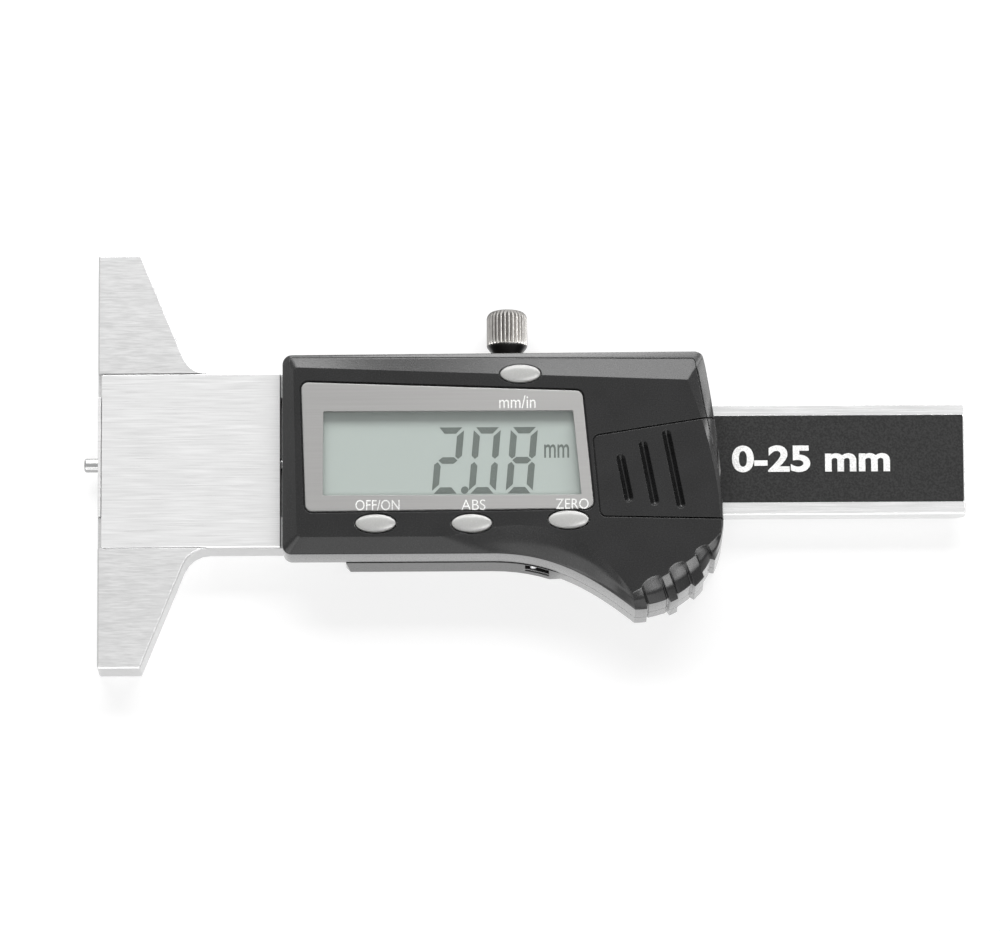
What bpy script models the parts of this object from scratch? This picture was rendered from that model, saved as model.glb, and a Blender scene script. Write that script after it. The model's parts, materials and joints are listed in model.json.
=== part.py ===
"""Digital depth caliper: a steel base with a sliding beam and depth rod, and a moulded display head.

Every size is in metres. Inside the script X is counted from the measuring face towards the free
end of the beam, Y runs along the base with the lock screw on its + side, and Z rises from the back
face, on which the tool lies, to the display. The head's empty carries all of it back by
origin_depth, so the world's origin lies on the back face of the base.
"""
import math

import bmesh
import bpy

# Clearances and wall sizes shared by many pieces
seat_gap = 0.00005
slide_gap = 0.0001
running_gap = 0.00006
fit_gap = 0.00015
overrun = 0.001
edge_chamfer = 0.0002

# Base: the steel crossbar with its measuring face, the neck and the slotted tail
origin_depth = 0.010
base_length = 0.060
wing_tip_width = 0.0061
wing_slope = 0.408
wing_fillet = 0.004
neck_length = 0.0351
floor_thickness = 0.0014
rail_wall_low = 0.0019
rail_wall_high = 0.0016
neck_side_wall = 0.00465
cover_plate_thickness = 0.00095
cover_plate_start = 0.00047
cover_plate_gap = 0.00035
neck_face_overlap = 0.00155

# Beam, scale and rod
beam_width = 0.016
beam_thickness = 0.0035
beam_stop_gap = 0.0008
beam_end = 0.1234
beam_end_chamfer = 0.0013
scale_thickness = 0.0005
scale_label_thickness = 0.00015
scale_label_proud = 0.0001
scale_low_border = 0.0018
scale_high_border = 0.0016
scale_start_margin = 0.0015
sensor_gap = 0.00025
rod_diameter = 0.002
rod_protrusion = 0.00208
rod_tip_round = 0.0004
rod_seat_depth = 0.0045
rod_screw_diameter = 0.0014
rod_screw_inset = 0.0028
travel_back = 0.0025
travel_out = 0.0232
stop_pin_diameter = 0.0016
stop_pin_height = 0.0009
stop_pin_share = 0.538
guide_block_length = 0.005
guide_lip = 0.0004
guide_screw_spacing = 0.0115

# Gib and lock
gib_thickness = 0.0009
gib_lead = 0.0051
gib_end_gap = 0.0015
gib_screw_diameter = 0.0016
gib_screw_spacing = 0.0285
lock_share = 0.5112
lock_pad_diameter = 0.0026
lock_pad_thickness = 0.0006
lock_pad_gap = 0.0003
lock_stem_diameter = 0.0029
lock_neck_diameter = 0.0035
lock_head_diameter = 0.0058
lock_head_height = 0.0050
lock_cone_height = 0.00125
lock_neck_clear = 0.0017
lock_knurl_count = 30
lock_knurl_depth = 0.00022
lock_top_round = 0.0006
lock_hole_clearance = 0.0003

# Housing plan: where its walls stand from the rails, and its outline
housing_overlap = 0.00875
housing_length = 0.0625
rear_rim = 0.00635
cover_rim_low = 0.00445
cover_rim_high = 0.00345
housing_top_rise = 0.00025
corner_radius = 0.0013
right_lean = 0.0029
grip_drop = 0.0082
grip_radius = 0.01265
grip_ridge_depth = 0.0006
grip_ridge_pitch = math.radians(21.3)
grip_first_ridge = math.radians(3.6)
sweep_start_share = 0.476
wall_thickness = 0.0014
face_thickness = 0.0014

# Housing heights and bevels
parting_gap = 0.0001
rear_cover_height = 0.0042
bevel_height = 0.0020
bevel_width = 0.0021
left_bevel_top = 0.0016
wedge_width_left = 0.0021
wedge_width_mid = 0.0033
wedge_width_right = 0.0042
ledge_out = 0.0006
ledge_top_out = 0.0001
ledge_end_slant = 0.0006
rear_bridge_thickness = 0.0012

# Battery, its contacts and its sliding door
cell_diameter = 0.0116
cell_height = 0.0054
cell_side_margin = 0.00385
cell_y = -0.0034
pocket_floor = 0.00025
pocket_wall = 0.0009
contact_thickness = 0.00015
contact_width = 0.0022
door_thickness = 0.00085
door_left_margin = 0.0030
door_left_slant = 0.0010
door_high = 0.0021
door_high_rise = 0.0029
door_low = 0.0095
door_low_drop = 0.0004
door_corner_radius = 0.0009
door_lip_drop = 0.0030
door_lip_wall = 0.0006
door_gap = 0.0002
door_groove_width = 0.00115
door_groove_depth = 0.00035
rail_tongue_height = 0.0006
rail_tongue_high_width = 0.00065
rail_tongue_low_width = 0.00045
door_travel = 0.016

# Display
lens_thickness = 0.0008
lens_left_margin = 0.0027
lens_right_margin = 0.01835
lens_high_left = 0.0101
lens_high_right = 0.00865
lens_low_left = 0.00864
lens_low_right = 0.00835
lens_slant_left = 0.0006
lens_slant_right = 0.0016
lens_corner_radius = 0.0010
window_left_border = 0.00305
window_right_border = 0.0023
window_high = 0.0058
window_low = 0.0064
lcd_margin = 0.0009
lcd_thickness = 0.0017
zebra_width = 0.0018

# Buttons and their switches
button_length = 0.00565
button_width = 0.00255
button_proud = 0.00045
button_crown = 0.00035
button_flange = 0.0006
button_flange_height = 0.0006
button_travel = 0.0004
button_stem_diameter = 0.0018
button_unit_share = 0.5410
button_unit_inset = 0.0032
button_power_share = 0.2115
button_abs_share = 0.4291
button_zero_margin = 0.00353
button_power_inset = 0.00405
button_abs_inset = 0.0040
button_zero_inset = 0.00445
switch_length = 0.0040
switch_width = 0.0030
switch_height = 0.0020
switch_plunger_diameter = 0.0016
switch_case_share = 0.75

# Circuit board and fasteners
board_thickness = 0.0008
board_lead = 0.0009
board_edge_gap = 0.0004
board_screw_diameter = 0.0012
board_screw_head = 0.0022
board_screw_head_height = 0.0006
board_screw_share = 0.378
chip_size = 0.0060
chip_height = 0.0010
chip_share = 0.386
cover_screw_diameter = 0.0016
cover_screw_head = 0.0024
cover_screw_head_height = 0.0008
cover_screw_length = 0.0066
cover_screw_near_share = 0.3144
cover_screw_far_inset = 0.01185
cover_screw_grip_shares = (0.26, 0.52)
boss_diameter = 0.0034
frame_screw_diameter = 0.0016
frame_screw_head = 0.0028
frame_screw_inset = 0.0035
frame_screw_margin = 0.00175
frame_screw_length = 0.0080
side_notch_share = 0.5768
side_notch_length = 0.0034
side_notch_height = 0.0013
side_notch_depth = 0.0012
side_screw_diameter = 0.0010

# How finely curves are divided
round_steps = 32
small_round_steps = 16
corner_steps = 5
sweep_steps = 14
grip_steps = 42
side_steps = 8

# Levels worked out from the stack of pieces, from the back face up
rod_z = floor_thickness + slide_gap + beam_thickness / 2
beam_bottom = floor_thickness + slide_gap
beam_top = beam_bottom + beam_thickness
label_top = beam_top + scale_label_proud
label_bottom = label_top - scale_label_thickness
scale_top = label_bottom - seat_gap
scale_bottom = scale_top - scale_thickness
tail_top = label_top + sensor_gap
base_thickness = tail_top + fit_gap + seat_gap + cover_plate_thickness
board_bottom = tail_top + seat_gap
board_top = board_bottom + board_thickness
pocket_bottom = tail_top + seat_gap
pocket_top = pocket_bottom + pocket_floor
contact_bottom = pocket_top + seat_gap
cell_bottom = contact_bottom + contact_thickness + seat_gap
cell_top = cell_bottom + cell_height
door_bottom = cell_top + slide_gap
face_z = door_bottom + door_thickness
wall_top = face_z - bevel_height
housing_bottom = rear_cover_height + parting_gap
lens_floor = face_z - lens_thickness - seat_gap - seat_gap
cavity_top = face_z - face_thickness
lcd_top = cavity_top - seat_gap
lcd_bottom = lcd_top - lcd_thickness

# Places along the tool worked out from the neck and the housing
housing_start = neck_length - housing_overlap
housing_end = housing_start + housing_length
tail_length = housing_end - rear_rim
neck_face_length = housing_start + neck_face_overlap
cover_plate_end = housing_start - cover_plate_gap
beam_start = guide_block_length + travel_out + beam_stop_gap
gib_start = neck_length - gib_lead
gib_end = tail_length - gib_end_gap
lock_x = housing_start + lock_share * housing_length
stop_pin_x = housing_start + stop_pin_share * housing_length
cell_x = housing_end - cell_diameter / 2 - cell_side_margin
door_left = cell_x - cell_diameter / 2 - door_left_margin
lens_left = housing_start + lens_left_margin
lens_right = housing_end - lens_right_margin
window_left = lens_left + window_left_border
window_right = lens_right - window_right_border
board_start = neck_length - board_lead
board_end = cell_x - cell_diameter / 2 - pocket_wall * 2
side_notch_x = housing_start + side_notch_share * housing_length
frame_screw_x = neck_length - frame_screw_inset

# Places across the tool worked out from the beam
channel_low = beam_width / 2 + slide_gap
channel_high = beam_width / 2 + slide_gap + gib_thickness + lock_pad_gap
tail_low = channel_low + rail_wall_low
tail_high = channel_high + rail_wall_high
neck_half = beam_width / 2 + neck_side_wall
housing_low = tail_low + cover_rim_low
housing_high = tail_high + cover_rim_high
grip_x = housing_end - grip_radius
grip_y = grip_radius - housing_low - grip_drop
frame_screw_y = neck_half - frame_screw_margin
gib_inner = beam_width / 2 + slide_gap
gib_outer = gib_inner + gib_thickness


def material(name, color, roughness, metallic):
    """Principled material with one colour, used by every piece of that finish."""
    found = bpy.data.materials.get(name)
    if found:
        return found
    made = bpy.data.materials.new(name)
    made.use_nodes = True
    shader = made.node_tree.nodes["Principled BSDF"]
    shader.inputs["Base Color"].default_value = (*color, 1.0)
    shader.inputs["Roughness"].default_value = roughness
    shader.inputs["Metallic"].default_value = metallic
    return made


finishes = {
    "ground_steel": ((0.72, 0.72, 0.72), 0.32, 1.0),
    "beam_steel": ((0.76, 0.76, 0.76), 0.28, 1.0),
    "screw_steel": ((0.55, 0.55, 0.56), 0.35, 1.0),
    "dark_steel": ((0.30, 0.30, 0.31), 0.40, 1.0),
    "brass": ((0.70, 0.52, 0.24), 0.35, 1.0),
    "housing_black": ((0.035, 0.035, 0.036), 0.45, 0.0),
    "button_silver": ((0.60, 0.60, 0.60), 0.30, 0.6),
    "lens_grey": ((0.45, 0.44, 0.43), 0.15, 0.0),
    "lcd_grey": ((0.50, 0.56, 0.52), 0.30, 0.0),
    "label_black": ((0.05, 0.05, 0.05), 0.50, 0.0),
    "board_green": ((0.05, 0.22, 0.10), 0.45, 0.0),
    "chip_black": ((0.02, 0.02, 0.02), 0.50, 0.0),
    "rubber_grey": ((0.25, 0.25, 0.26), 0.80, 0.0),
    "contact_nickel": ((0.75, 0.72, 0.66), 0.30, 1.0),
    "cell_steel": ((0.78, 0.78, 0.78), 0.22, 1.0),
}


def empty(name, location=(0, 0, 0), parent=None):
    """Empty that carries a body; a moving body's empty stands on its joint's axis."""
    made = bpy.data.objects.new(name, None)
    bpy.context.scene.collection.objects.link(made)
    made.location = location
    made.parent = parent
    return made


def link_mesh(name, bm):
    """Object from a bmesh, with its faces turned outwards."""
    bmesh.ops.recalc_face_normals(bm, faces=bm.faces)
    mesh = bpy.data.meshes.new(name)
    bm.to_mesh(mesh)
    bm.free()
    made = bpy.data.objects.new(name, mesh)
    bpy.context.scene.collection.objects.link(made)
    return made


def piece(name, bm, finish, body, at=(0, 0, 0), turn=(0, 0, 0), smooth=False):
    """Named sub-part on a body, placed by its own location and rotation."""
    made = link_mesh(name, bm)
    made.data.materials.append(material(finish, *finishes[finish]))
    made.parent = body
    made.location = at
    made.rotation_euler = turn
    if smooth:
        made.data.shade_smooth()
        made.data.set_sharp_from_angle(angle=math.radians(35))
    return made


def tool(name, bm, body, at=(0, 0, 0), turn=(0, 0, 0)):
    """Hidden solid that cuts or joins another piece and isn't part of the object."""
    made = link_mesh(name, bm)
    made.parent = body
    made.location = at
    made.rotation_euler = turn
    made.hide_render = True
    made.display_type = "WIRE"
    return made


def combine(target, other, operation):
    """Exact Boolean of target with a hidden tool."""
    modifier = target.modifiers.new(other.name, "BOOLEAN")
    modifier.operation = operation
    modifier.solver = "EXACT"
    modifier.object = other
    return target


def cut(target, name, bm, body, at=(0, 0, 0), turn=(0, 0, 0)):
    """Take a shape out of the target."""
    return combine(target, tool(name, bm, body, at, turn), "DIFFERENCE")


def join(target, name, bm, body, at=(0, 0, 0), turn=(0, 0, 0)):
    """Add a shape to the target."""
    return combine(target, tool(name, bm, body, at, turn), "UNION")


def loft(rings):
    """Closed solid through rings of points, lowest ring first, each anticlockwise from above."""
    bm = bmesh.new()
    loops = [[bm.verts.new(point) for point in ring] for ring in rings]
    for low, high in zip(loops, loops[1:]):
        for i in range(len(low)):
            j = (i + 1) % len(low)
            bm.faces.new((low[i], low[j], high[j], high[i]))
    bm.faces.new(list(reversed(loops[0])))
    bm.faces.new(loops[-1])
    return bm


def at_level(outline, z):
    """Outline of (x, y) pairs lifted to one height."""
    return [(x, y, z) for x, y in outline]


def prism(outline, bottom, top):
    """Upright solid on a flat outline."""
    return loft([at_level(outline, bottom), at_level(outline, top)])


def box(x0, x1, y0, y1, z0, z1):
    """Rectangular solid between two corners."""
    return prism([(x0, y0), (x1, y0), (x1, y1), (x0, y1)], z0, z1)


def chamfered(outline, bottom, top, chamfer):
    """Upright solid whose bottom and top edges are chamfered all round."""
    inner = inset(outline, chamfer)
    return loft([
        at_level(inner, bottom),
        at_level(outline, bottom + chamfer),
        at_level(outline, top - chamfer),
        at_level(inner, top),
    ])


def turned(profile, steps=round_steps, ripple=None):
    """Solid turned about Z from (radius, height) pairs, from the bottom pole to the top pole.

    ripple, where given, is a function of (angle, radius, height) that returns the radius.
    """
    bm = bmesh.new()
    loops = []
    for radius, height in profile:
        if radius == 0:
            loops.append([bm.verts.new((0, 0, height))])
            continue
        ring = []
        for i in range(steps):
            angle = math.tau * i / steps
            r = ripple(angle, radius, height) if ripple else radius
            ring.append(bm.verts.new((r * math.cos(angle), r * math.sin(angle), height)))
        loops.append(ring)
    for low, high in zip(loops, loops[1:]):
        for i in range(steps):
            j = (i + 1) % steps
            if len(low) == 1:
                bm.faces.new((low[0], high[j], high[i]))
            elif len(high) == 1:
                bm.faces.new((low[i], low[j], high[0]))
            else:
                bm.faces.new((low[i], low[j], high[j], high[i]))
    return bm


def rod_along(length, radius, steps=small_round_steps, chamfer=0.0):
    """Round bar from the origin up Z with a chamfer at both ends."""
    if chamfer == 0:
        return turned([(0, 0), (radius, 0), (radius, length), (0, length)], steps)
    return turned([
        (0, 0),
        (radius - chamfer, 0),
        (radius, chamfer),
        (radius, length - chamfer),
        (radius - chamfer, length),
        (0, length),
    ], steps)


def inset(outline, distance):
    """Outline moved inwards by one distance, with as many points as before."""
    count = len(outline)
    moved = []
    for i in range(count):
        ax, ay = outline[i - 1]
        bx, by = outline[i]
        cx, cy = outline[(i + 1) % count]
        in_x, in_y = bx - ax, by - ay
        out_x, out_y = cx - bx, cy - by
        in_l, out_l = math.hypot(in_x, in_y), math.hypot(out_x, out_y)
        nx = -in_y / in_l - out_y / out_l
        ny = in_x / in_l + out_x / out_l
        dot = (in_x * out_x + in_y * out_y) / (in_l * out_l)
        moved.append((bx + nx * distance / (1 + dot), by + ny * distance / (1 + dot)))
    return moved


def rounded(corners, radii, steps=corner_steps):
    """Polygon whose corners are arcs; a corner with radius 0 stays sharp."""
    outline = []
    count = len(corners)
    for i in range(count):
        ax, ay = corners[i - 1]
        bx, by = corners[i]
        cx, cy = corners[(i + 1) % count]
        radius = radii[i] if isinstance(radii, (list, tuple)) else radii
        if radius == 0:
            outline.append((bx, by))
            continue
        back = math.atan2(ay - by, ax - bx)
        ahead = math.atan2(cy - by, cx - bx)
        half = (ahead - back) % math.tau / 2
        reach = radius / abs(math.tan(half))
        side = math.copysign(radius, math.sin(ahead - back))
        start = (bx + reach * math.cos(back), by + reach * math.sin(back))
        centre = (start[0] - side * math.sin(back), start[1] + side * math.cos(back))
        first = math.atan2(start[1] - centre[1], start[0] - centre[0])
        end = (bx + reach * math.cos(ahead), by + reach * math.sin(ahead))
        last = math.atan2(end[1] - centre[1], end[0] - centre[0])
        sweep = (last - first + math.pi) % math.tau - math.pi
        for k in range(steps):
            angle = first + sweep * k / (steps - 1)
            outline.append((centre[0] + radius * math.cos(angle), centre[1] + radius * math.sin(angle)))
    return outline


def bezier(p0, p1, p2, p3, steps):
    """Points of a cubic curve from p0 up to but not including p3."""
    points = []
    for i in range(steps):
        t = i / steps
        u = 1 - t
        a, b, c, d = u * u * u, 3 * u * u * t, 3 * u * t * t, t * t * t
        points.append(tuple(a * p0[k] + b * p1[k] + c * p2[k] + d * p3[k] for k in (0, 1)))
    return points


def oval(length, width, steps=20):
    """Ellipse about the origin."""
    return [
        (length / 2 * math.cos(math.tau * i / steps), width / 2 * math.sin(math.tau * i / steps))
        for i in range(steps)
    ]


def slot(length, width, steps=6):
    """Straight slot along X about the origin, with round ends."""
    reach = (length - width) / 2
    points = []
    for end, start in ((1, -math.pi / 2), (-1, math.pi / 2)):
        for i in range(steps + 1):
            angle = start + math.pi * i / steps
            points.append((end * reach + width / 2 * math.cos(angle), width / 2 * math.sin(angle)))
    return points


def moved(outline, dx, dy, angle=0.0):
    """Outline turned about the origin and then shifted."""
    c, s = math.cos(angle), math.sin(angle)
    return [(dx + x * c - y * s, dy + x * s + y * c) for x, y in outline]


upwards = (0, 0, 0)
along_x = (0, math.pi / 2, 0)
along_y = (-math.pi / 2, 0, 0)
against_y = (math.pi / 2, 0, 0)


def countersunk(length, radius, head_radius, head_height, recess=0.0004):
    """Flat-headed screw with its head at the origin and its shank up Z, and a hollow in its head."""
    hollow = head_radius / 2
    return turned([
        (0, recess),
        (hollow / 2, recess),
        (hollow, 0),
        (head_radius, 0),
        (head_radius, head_height / 4),
        (radius, head_height),
        (radius, length - radius / 2),
        (radius / 2, length),
        (0, length),
    ], small_round_steps)


def base_outline():
    """Plan of the base: two tapered wings, the neck, and the narrower tail."""
    half = base_length / 2
    shoulder = wing_tip_width + wing_slope * (half - neck_half)
    corners = [
        (0, -half),
        (wing_tip_width, -half),
        (shoulder, -neck_half),
        (neck_length, -neck_half),
        (neck_length, -tail_low),
        (tail_length, -tail_low),
        (tail_length, tail_high),
        (neck_length, tail_high),
        (neck_length, neck_half),
        (shoulder, neck_half),
        (wing_tip_width, half),
        (0, half),
    ]
    small = edge_chamfer * 2
    radii = [small, small, wing_fillet, small, small, small, small, small, small, wing_fillet, small, small]
    return rounded(corners, radii)


def make_base(head):
    """Ground steel base with the plate recess, the beam's channel and its holes."""
    base = piece("base", chamfered(base_outline(), 0, base_thickness, edge_chamfer), "ground_steel", head)
    plate_floor = tail_top + fit_gap
    cut(base, "plate_recess", box(
        -overrun, neck_face_length + overrun, -neck_half - running_gap, neck_half + running_gap,
        plate_floor, base_thickness + overrun), head)
    cut(base, "tail_step", box(
        neck_face_length, tail_length + overrun, -neck_half - overrun, neck_half + overrun,
        tail_top, base_thickness + overrun), head)
    cut(base, "beam_channel", box(
        -overrun, tail_length + overrun, -channel_low, channel_high,
        floor_thickness, base_thickness + overrun), head)
    cut(base, "lock_bore", rod_along(rail_wall_high + overrun * 2, lock_stem_diameter / 2 + fit_gap), head,
        (lock_x, channel_high - overrun, rod_z), along_y)
    for i, x in enumerate(gib_screw_places()):
        cut(base, f"gib_screw_bore_{i + 1}", rod_along(
            rail_wall_high + overrun * 2, gib_screw_diameter / 2 + running_gap),
            head, (x, channel_high - overrun, rod_z), along_y)
    cut(base, "stop_pin_bore", rod_along(
        floor_thickness + overrun * 2, stop_pin_diameter / 2 + running_gap), head,
        (stop_pin_x, 0, -overrun))
    for i, side in enumerate((-1, 1)):
        cut(base, f"frame_screw_bore_{i + 1}", sink(
            base_thickness, frame_screw_diameter / 2, frame_screw_head / 2, frame_screw_head / 2), head,
            (frame_screw_x, side * frame_screw_y, 0))
        cut(base, f"guide_screw_bore_{i + 1}", sink(
            floor_thickness + overrun, cover_screw_diameter / 2, cover_screw_head / 2,
            cover_screw_head_height), head,
            (guide_block_length / 2, guide_middle() + side * guide_screw_spacing / 2, 0))
    for i, (x, y) in enumerate(board_screw_places()):
        cut(base, f"board_screw_bore_{i + 1}", rod_along(
            tail_top, board_screw_diameter / 2 + running_gap), head, (x, y, tail_top / 2))
    return base


def sink(length, radius, head_radius, head_height):
    """Hole for a flat-headed screw that enters from below at the origin, a little wider than it."""
    return turned([
        (0, -overrun),
        (head_radius + fit_gap, -overrun),
        (head_radius + fit_gap, head_height / 4),
        (radius + fit_gap, head_height + fit_gap),
        (radius + fit_gap, length),
        (0, length),
    ], small_round_steps)


def guide_middle():
    """Middle of the beam's channel across the tool."""
    return (channel_high - channel_low) / 2


def gib_screw_places():
    """X of the gib's two set screws, one each side of the lock screw."""
    return lock_x - gib_screw_spacing / 2, lock_x + gib_screw_spacing / 2


def board_screw_places():
    """One board screw over each rail of the tail, the lower one midway between two switches."""
    buttons = dict(button_places())
    midway = (buttons["button_abs"][0] + buttons["button_zero"][0]) / 2
    return (
        (midway, -(channel_low + tail_low) / 2),
        (along_housing(board_screw_share), (channel_high + tail_high) / 2),
    )


def cover_screw_places():
    """The rear cover's screws: two near the neck, one in the grip and one at the far upper corner."""
    low, high = -(tail_low + housing_low) / 2, (tail_high + housing_high) / 2
    across, down = cover_screw_grip_shares
    return (
        (along_housing(cover_screw_near_share), low),
        (along_housing(cover_screw_near_share), high),
        (grip_x + across * grip_radius, grip_y - down * grip_radius),
        (housing_end - cover_screw_far_inset, high),
    )


def make_guide(head):
    """Block that closes the channel at the measuring face and guides the rod, and its two screws."""
    low, high = -channel_low + seat_gap, channel_high - seat_gap
    profile = [
        (0, floor_thickness + seat_gap),
        (guide_block_length, floor_thickness + seat_gap),
        (guide_block_length, tail_top),
        (guide_lip, tail_top),
        (guide_lip, base_thickness),
        (0, base_thickness),
    ]
    bm = loft([[(x, y, z) for x, z in reversed(profile)] for y in (low, high)])
    block = piece("rod_guide_block", bm, "ground_steel", head)
    cut(block, "rod_bore", rod_along(guide_block_length + overrun * 2, rod_diameter / 2 + running_gap), head,
        (-overrun, 0, rod_z), along_x)
    screw_length = tail_top - cover_screw_diameter / 2
    for i, side in enumerate((-1, 1)):
        at = (guide_block_length / 2, guide_middle() + side * guide_screw_spacing / 2, seat_gap)
        cut(block, f"guide_thread_{i + 1}", rod_along(
            screw_length + overrun, cover_screw_diameter / 2 + running_gap), head, at)
        piece(f"guide_screw_{i + 1}", countersunk(
            screw_length, cover_screw_diameter / 2, cover_screw_head / 2, cover_screw_head_height),
            "screw_steel", head, at, smooth=True)


def make_cover_plate(head):
    """Thin plate let into the front of the neck over the rod's channel."""
    outline = rounded([
        (cover_plate_start, -neck_half + seat_gap),
        (cover_plate_end, -neck_half + seat_gap),
        (cover_plate_end, neck_half - seat_gap),
        (cover_plate_start, neck_half - seat_gap),
    ], edge_chamfer)
    bottom = tail_top + fit_gap + seat_gap
    bm = chamfered(outline, bottom, base_thickness, edge_chamfer / 2)
    piece("base_cover_plate", bm, "ground_steel", head)


def make_gib(head):
    """Gib strip beside the beam and the two set screws that adjust it."""
    outline = rounded([
        (gib_start, gib_inner), (gib_end, gib_inner), (gib_end, gib_outer), (gib_start, gib_outer),
    ], edge_chamfer)
    gib = piece("gib_strip", prism(outline, floor_thickness + seat_gap, beam_top), "brass", head)
    dimple = gib_screw_diameter / 4
    tip = gib_outer - dimple + seat_gap
    length = tail_high - tip - seat_gap
    for i, x in enumerate(gib_screw_places()):
        cut(gib, f"gib_dimple_{i + 1}", rod_along(
            dimple + overrun, gib_screw_diameter / 4 + running_gap), head,
            (x, gib_outer - dimple, rod_z), along_y)
        radius = gib_screw_diameter / 2
        bm = turned([
            (0, 0),
            (radius / 2, 0),
            (radius / 2, dimple + lock_pad_gap / 2),
            (radius, dimple + lock_pad_gap),
            (radius, length),
            (radius / 2, length),
            (radius / 2, length - radius / 2),
            (0, length - radius / 2),
        ], small_round_steps)
        piece(f"gib_screw_{i + 1}", bm, "dark_steel", head, (x, tip, rod_z), along_y, smooth=True)


def knurl(angle, radius, height):
    """Radius of the lock screw's rim: straight ridges between its two round edges."""
    rim = lock_head_diameter / 2
    if radius < rim - lock_knurl_depth:
        return radius
    return radius - lock_knurl_depth / 2 * (1 + math.cos(lock_knurl_count * angle))


def make_lock(head):
    """Knurled lock screw and the pad that it presses on the gib."""
    pad_y = gib_outer + lock_pad_gap
    pad_body = empty("lock_pad_body", (lock_x, pad_y, rod_z), head)
    piece("lock_pad", rod_along(
        lock_pad_thickness, lock_pad_diameter / 2, small_round_steps, edge_chamfer / 2), "brass", pad_body,
        (0, 0, 0), along_y, smooth=True)
    screw_body = empty("lock_screw_body", (0, lock_pad_thickness + seat_gap, 0), pad_body)
    start = pad_y + lock_pad_thickness + seat_gap
    neck = housing_high + lock_neck_clear - start
    top = neck + lock_cone_height + lock_head_height
    stem, rim = lock_stem_diameter / 2, lock_head_diameter / 2
    shoulder = neck - lock_neck_clear * 2
    profile = [
        (0, 0),
        (stem - edge_chamfer, 0),
        (stem, edge_chamfer),
        (stem, shoulder),
        (lock_neck_diameter / 2, shoulder + edge_chamfer),
        (lock_neck_diameter / 2, neck),
        (rim - lock_knurl_depth * 2, neck + lock_cone_height),
        (rim, neck + lock_cone_height + edge_chamfer),
        (rim, top - lock_top_round),
        (rim - lock_knurl_depth - lock_top_round / 4, top - lock_top_round / 3),
        (rim - lock_top_round * 3 / 2, top),
        (0, top),
    ]
    piece("lock_screw", turned(profile, lock_knurl_count * 2, knurl), "dark_steel", screw_body,
          (0, 0, 0), along_y, smooth=True)


def make_beam(head):
    """Beam with its scale, label, stop slot and the depth rod held in its inner end."""
    body = empty("beam_body", (0, 0, rod_z), head)
    half = beam_width / 2
    outline = rounded([
        (beam_start, -half), (beam_end, -half), (beam_end, half), (beam_start, half),
    ], edge_chamfer)
    rise = beam_thickness / 2
    beam = piece("beam", chamfered(outline, -rise, rise, edge_chamfer / 2), "beam_steel", body)
    wedge = [
        (beam_end - beam_end_chamfer, -rise), (beam_end, -rise + beam_end_chamfer),
        (beam_end + overrun, -rise + beam_end_chamfer), (beam_end + overrun, -rise - overrun),
        (beam_end - beam_end_chamfer - overrun, -rise - overrun),
    ]
    sides = (-half - overrun, half + overrun)
    cut(beam, "beam_end_bevel", loft([[(x, y, z) for x, z in wedge] for y in sides]), body)
    scale_start = beam_start + scale_start_margin
    low, high = -half + scale_low_border, half - scale_high_border
    cut(beam, "scale_recess", box(
        scale_start, beam_end + overrun, low, high, scale_bottom - seat_gap - rod_z, rise + overrun), body)
    bore = rod_seat_depth + running_gap
    cut(beam, "rod_seat", rod_along(bore + overrun, rod_diameter / 2 + running_gap), body,
        (beam_start - overrun, 0, 0), along_x)
    cut(beam, "rod_screw_bore", rod_along(rise + overrun, rod_screw_diameter / 2 + running_gap), body,
        (beam_start + rod_screw_inset, 0, -rise - overrun))
    reach = stop_pin_diameter / 2 + fit_gap
    slot_low = stop_pin_x - travel_back - reach
    slot_high = stop_pin_x + travel_out + reach
    slot_shape = slot(slot_high - slot_low, stop_pin_diameter + fit_gap * 2)
    slot_shape = moved(slot_shape, (slot_low + slot_high) / 2, 0)
    cut(beam, "stop_slot", prism(slot_shape, -rise - overrun, -rise + stop_pin_height + fit_gap), body)

    strip_end = beam_end - edge_chamfer
    strip = rounded([
        (scale_start + seat_gap, low + seat_gap), (strip_end, low + seat_gap),
        (strip_end, high - seat_gap), (scale_start + seat_gap, high - seat_gap),
    ], edge_chamfer)
    piece("scale_strip", prism(strip, scale_bottom - rod_z, scale_top - rod_z), "board_green", body)
    piece("scale_label", prism(strip, label_bottom - rod_z, label_top - rod_z), "label_black", body)

    radius = rod_diameter / 2
    length = rod_protrusion + beam_start + rod_seat_depth
    profile = [(0, 0), (radius - rod_tip_round, 0)]
    for i in range(1, corner_steps):
        angle = math.pi / 2 * i / (corner_steps - 1)
        profile.append((
            radius - rod_tip_round * (1 - math.sin(angle)), rod_tip_round * (1 - math.cos(angle))))
    profile += [(radius, length), (0, length)]
    piece("depth_rod", turned(profile, round_steps), "beam_steel", body,
          (-rod_protrusion, 0, 0), along_x, smooth=True)
    screw = rod_screw_diameter / 2
    screw_length = rise - radius - seat_gap * 2
    bm = turned([
        (0, screw / 2),
        (screw / 2, screw / 2),
        (screw / 2, 0),
        (screw, 0),
        (screw, screw_length),
        (0, screw_length),
    ], small_round_steps)
    piece("rod_set_screw", bm, "dark_steel", body,
          (beam_start + rod_screw_inset, 0, -rise + seat_gap), smooth=True)
    return body


def make_stop_pin(head):
    """Pin in the floor of the tail that ends the beam's travel in its slot."""
    length = floor_thickness + stop_pin_height
    pin = rod_along(length, stop_pin_diameter / 2, small_round_steps, edge_chamfer / 2)
    piece("stop_pin", pin, "screw_steel",
          head, (stop_pin_x, 0, seat_gap), smooth=True)


def along_housing(share):
    """X at a share of the housing's length."""
    return housing_start + share * housing_length


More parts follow.
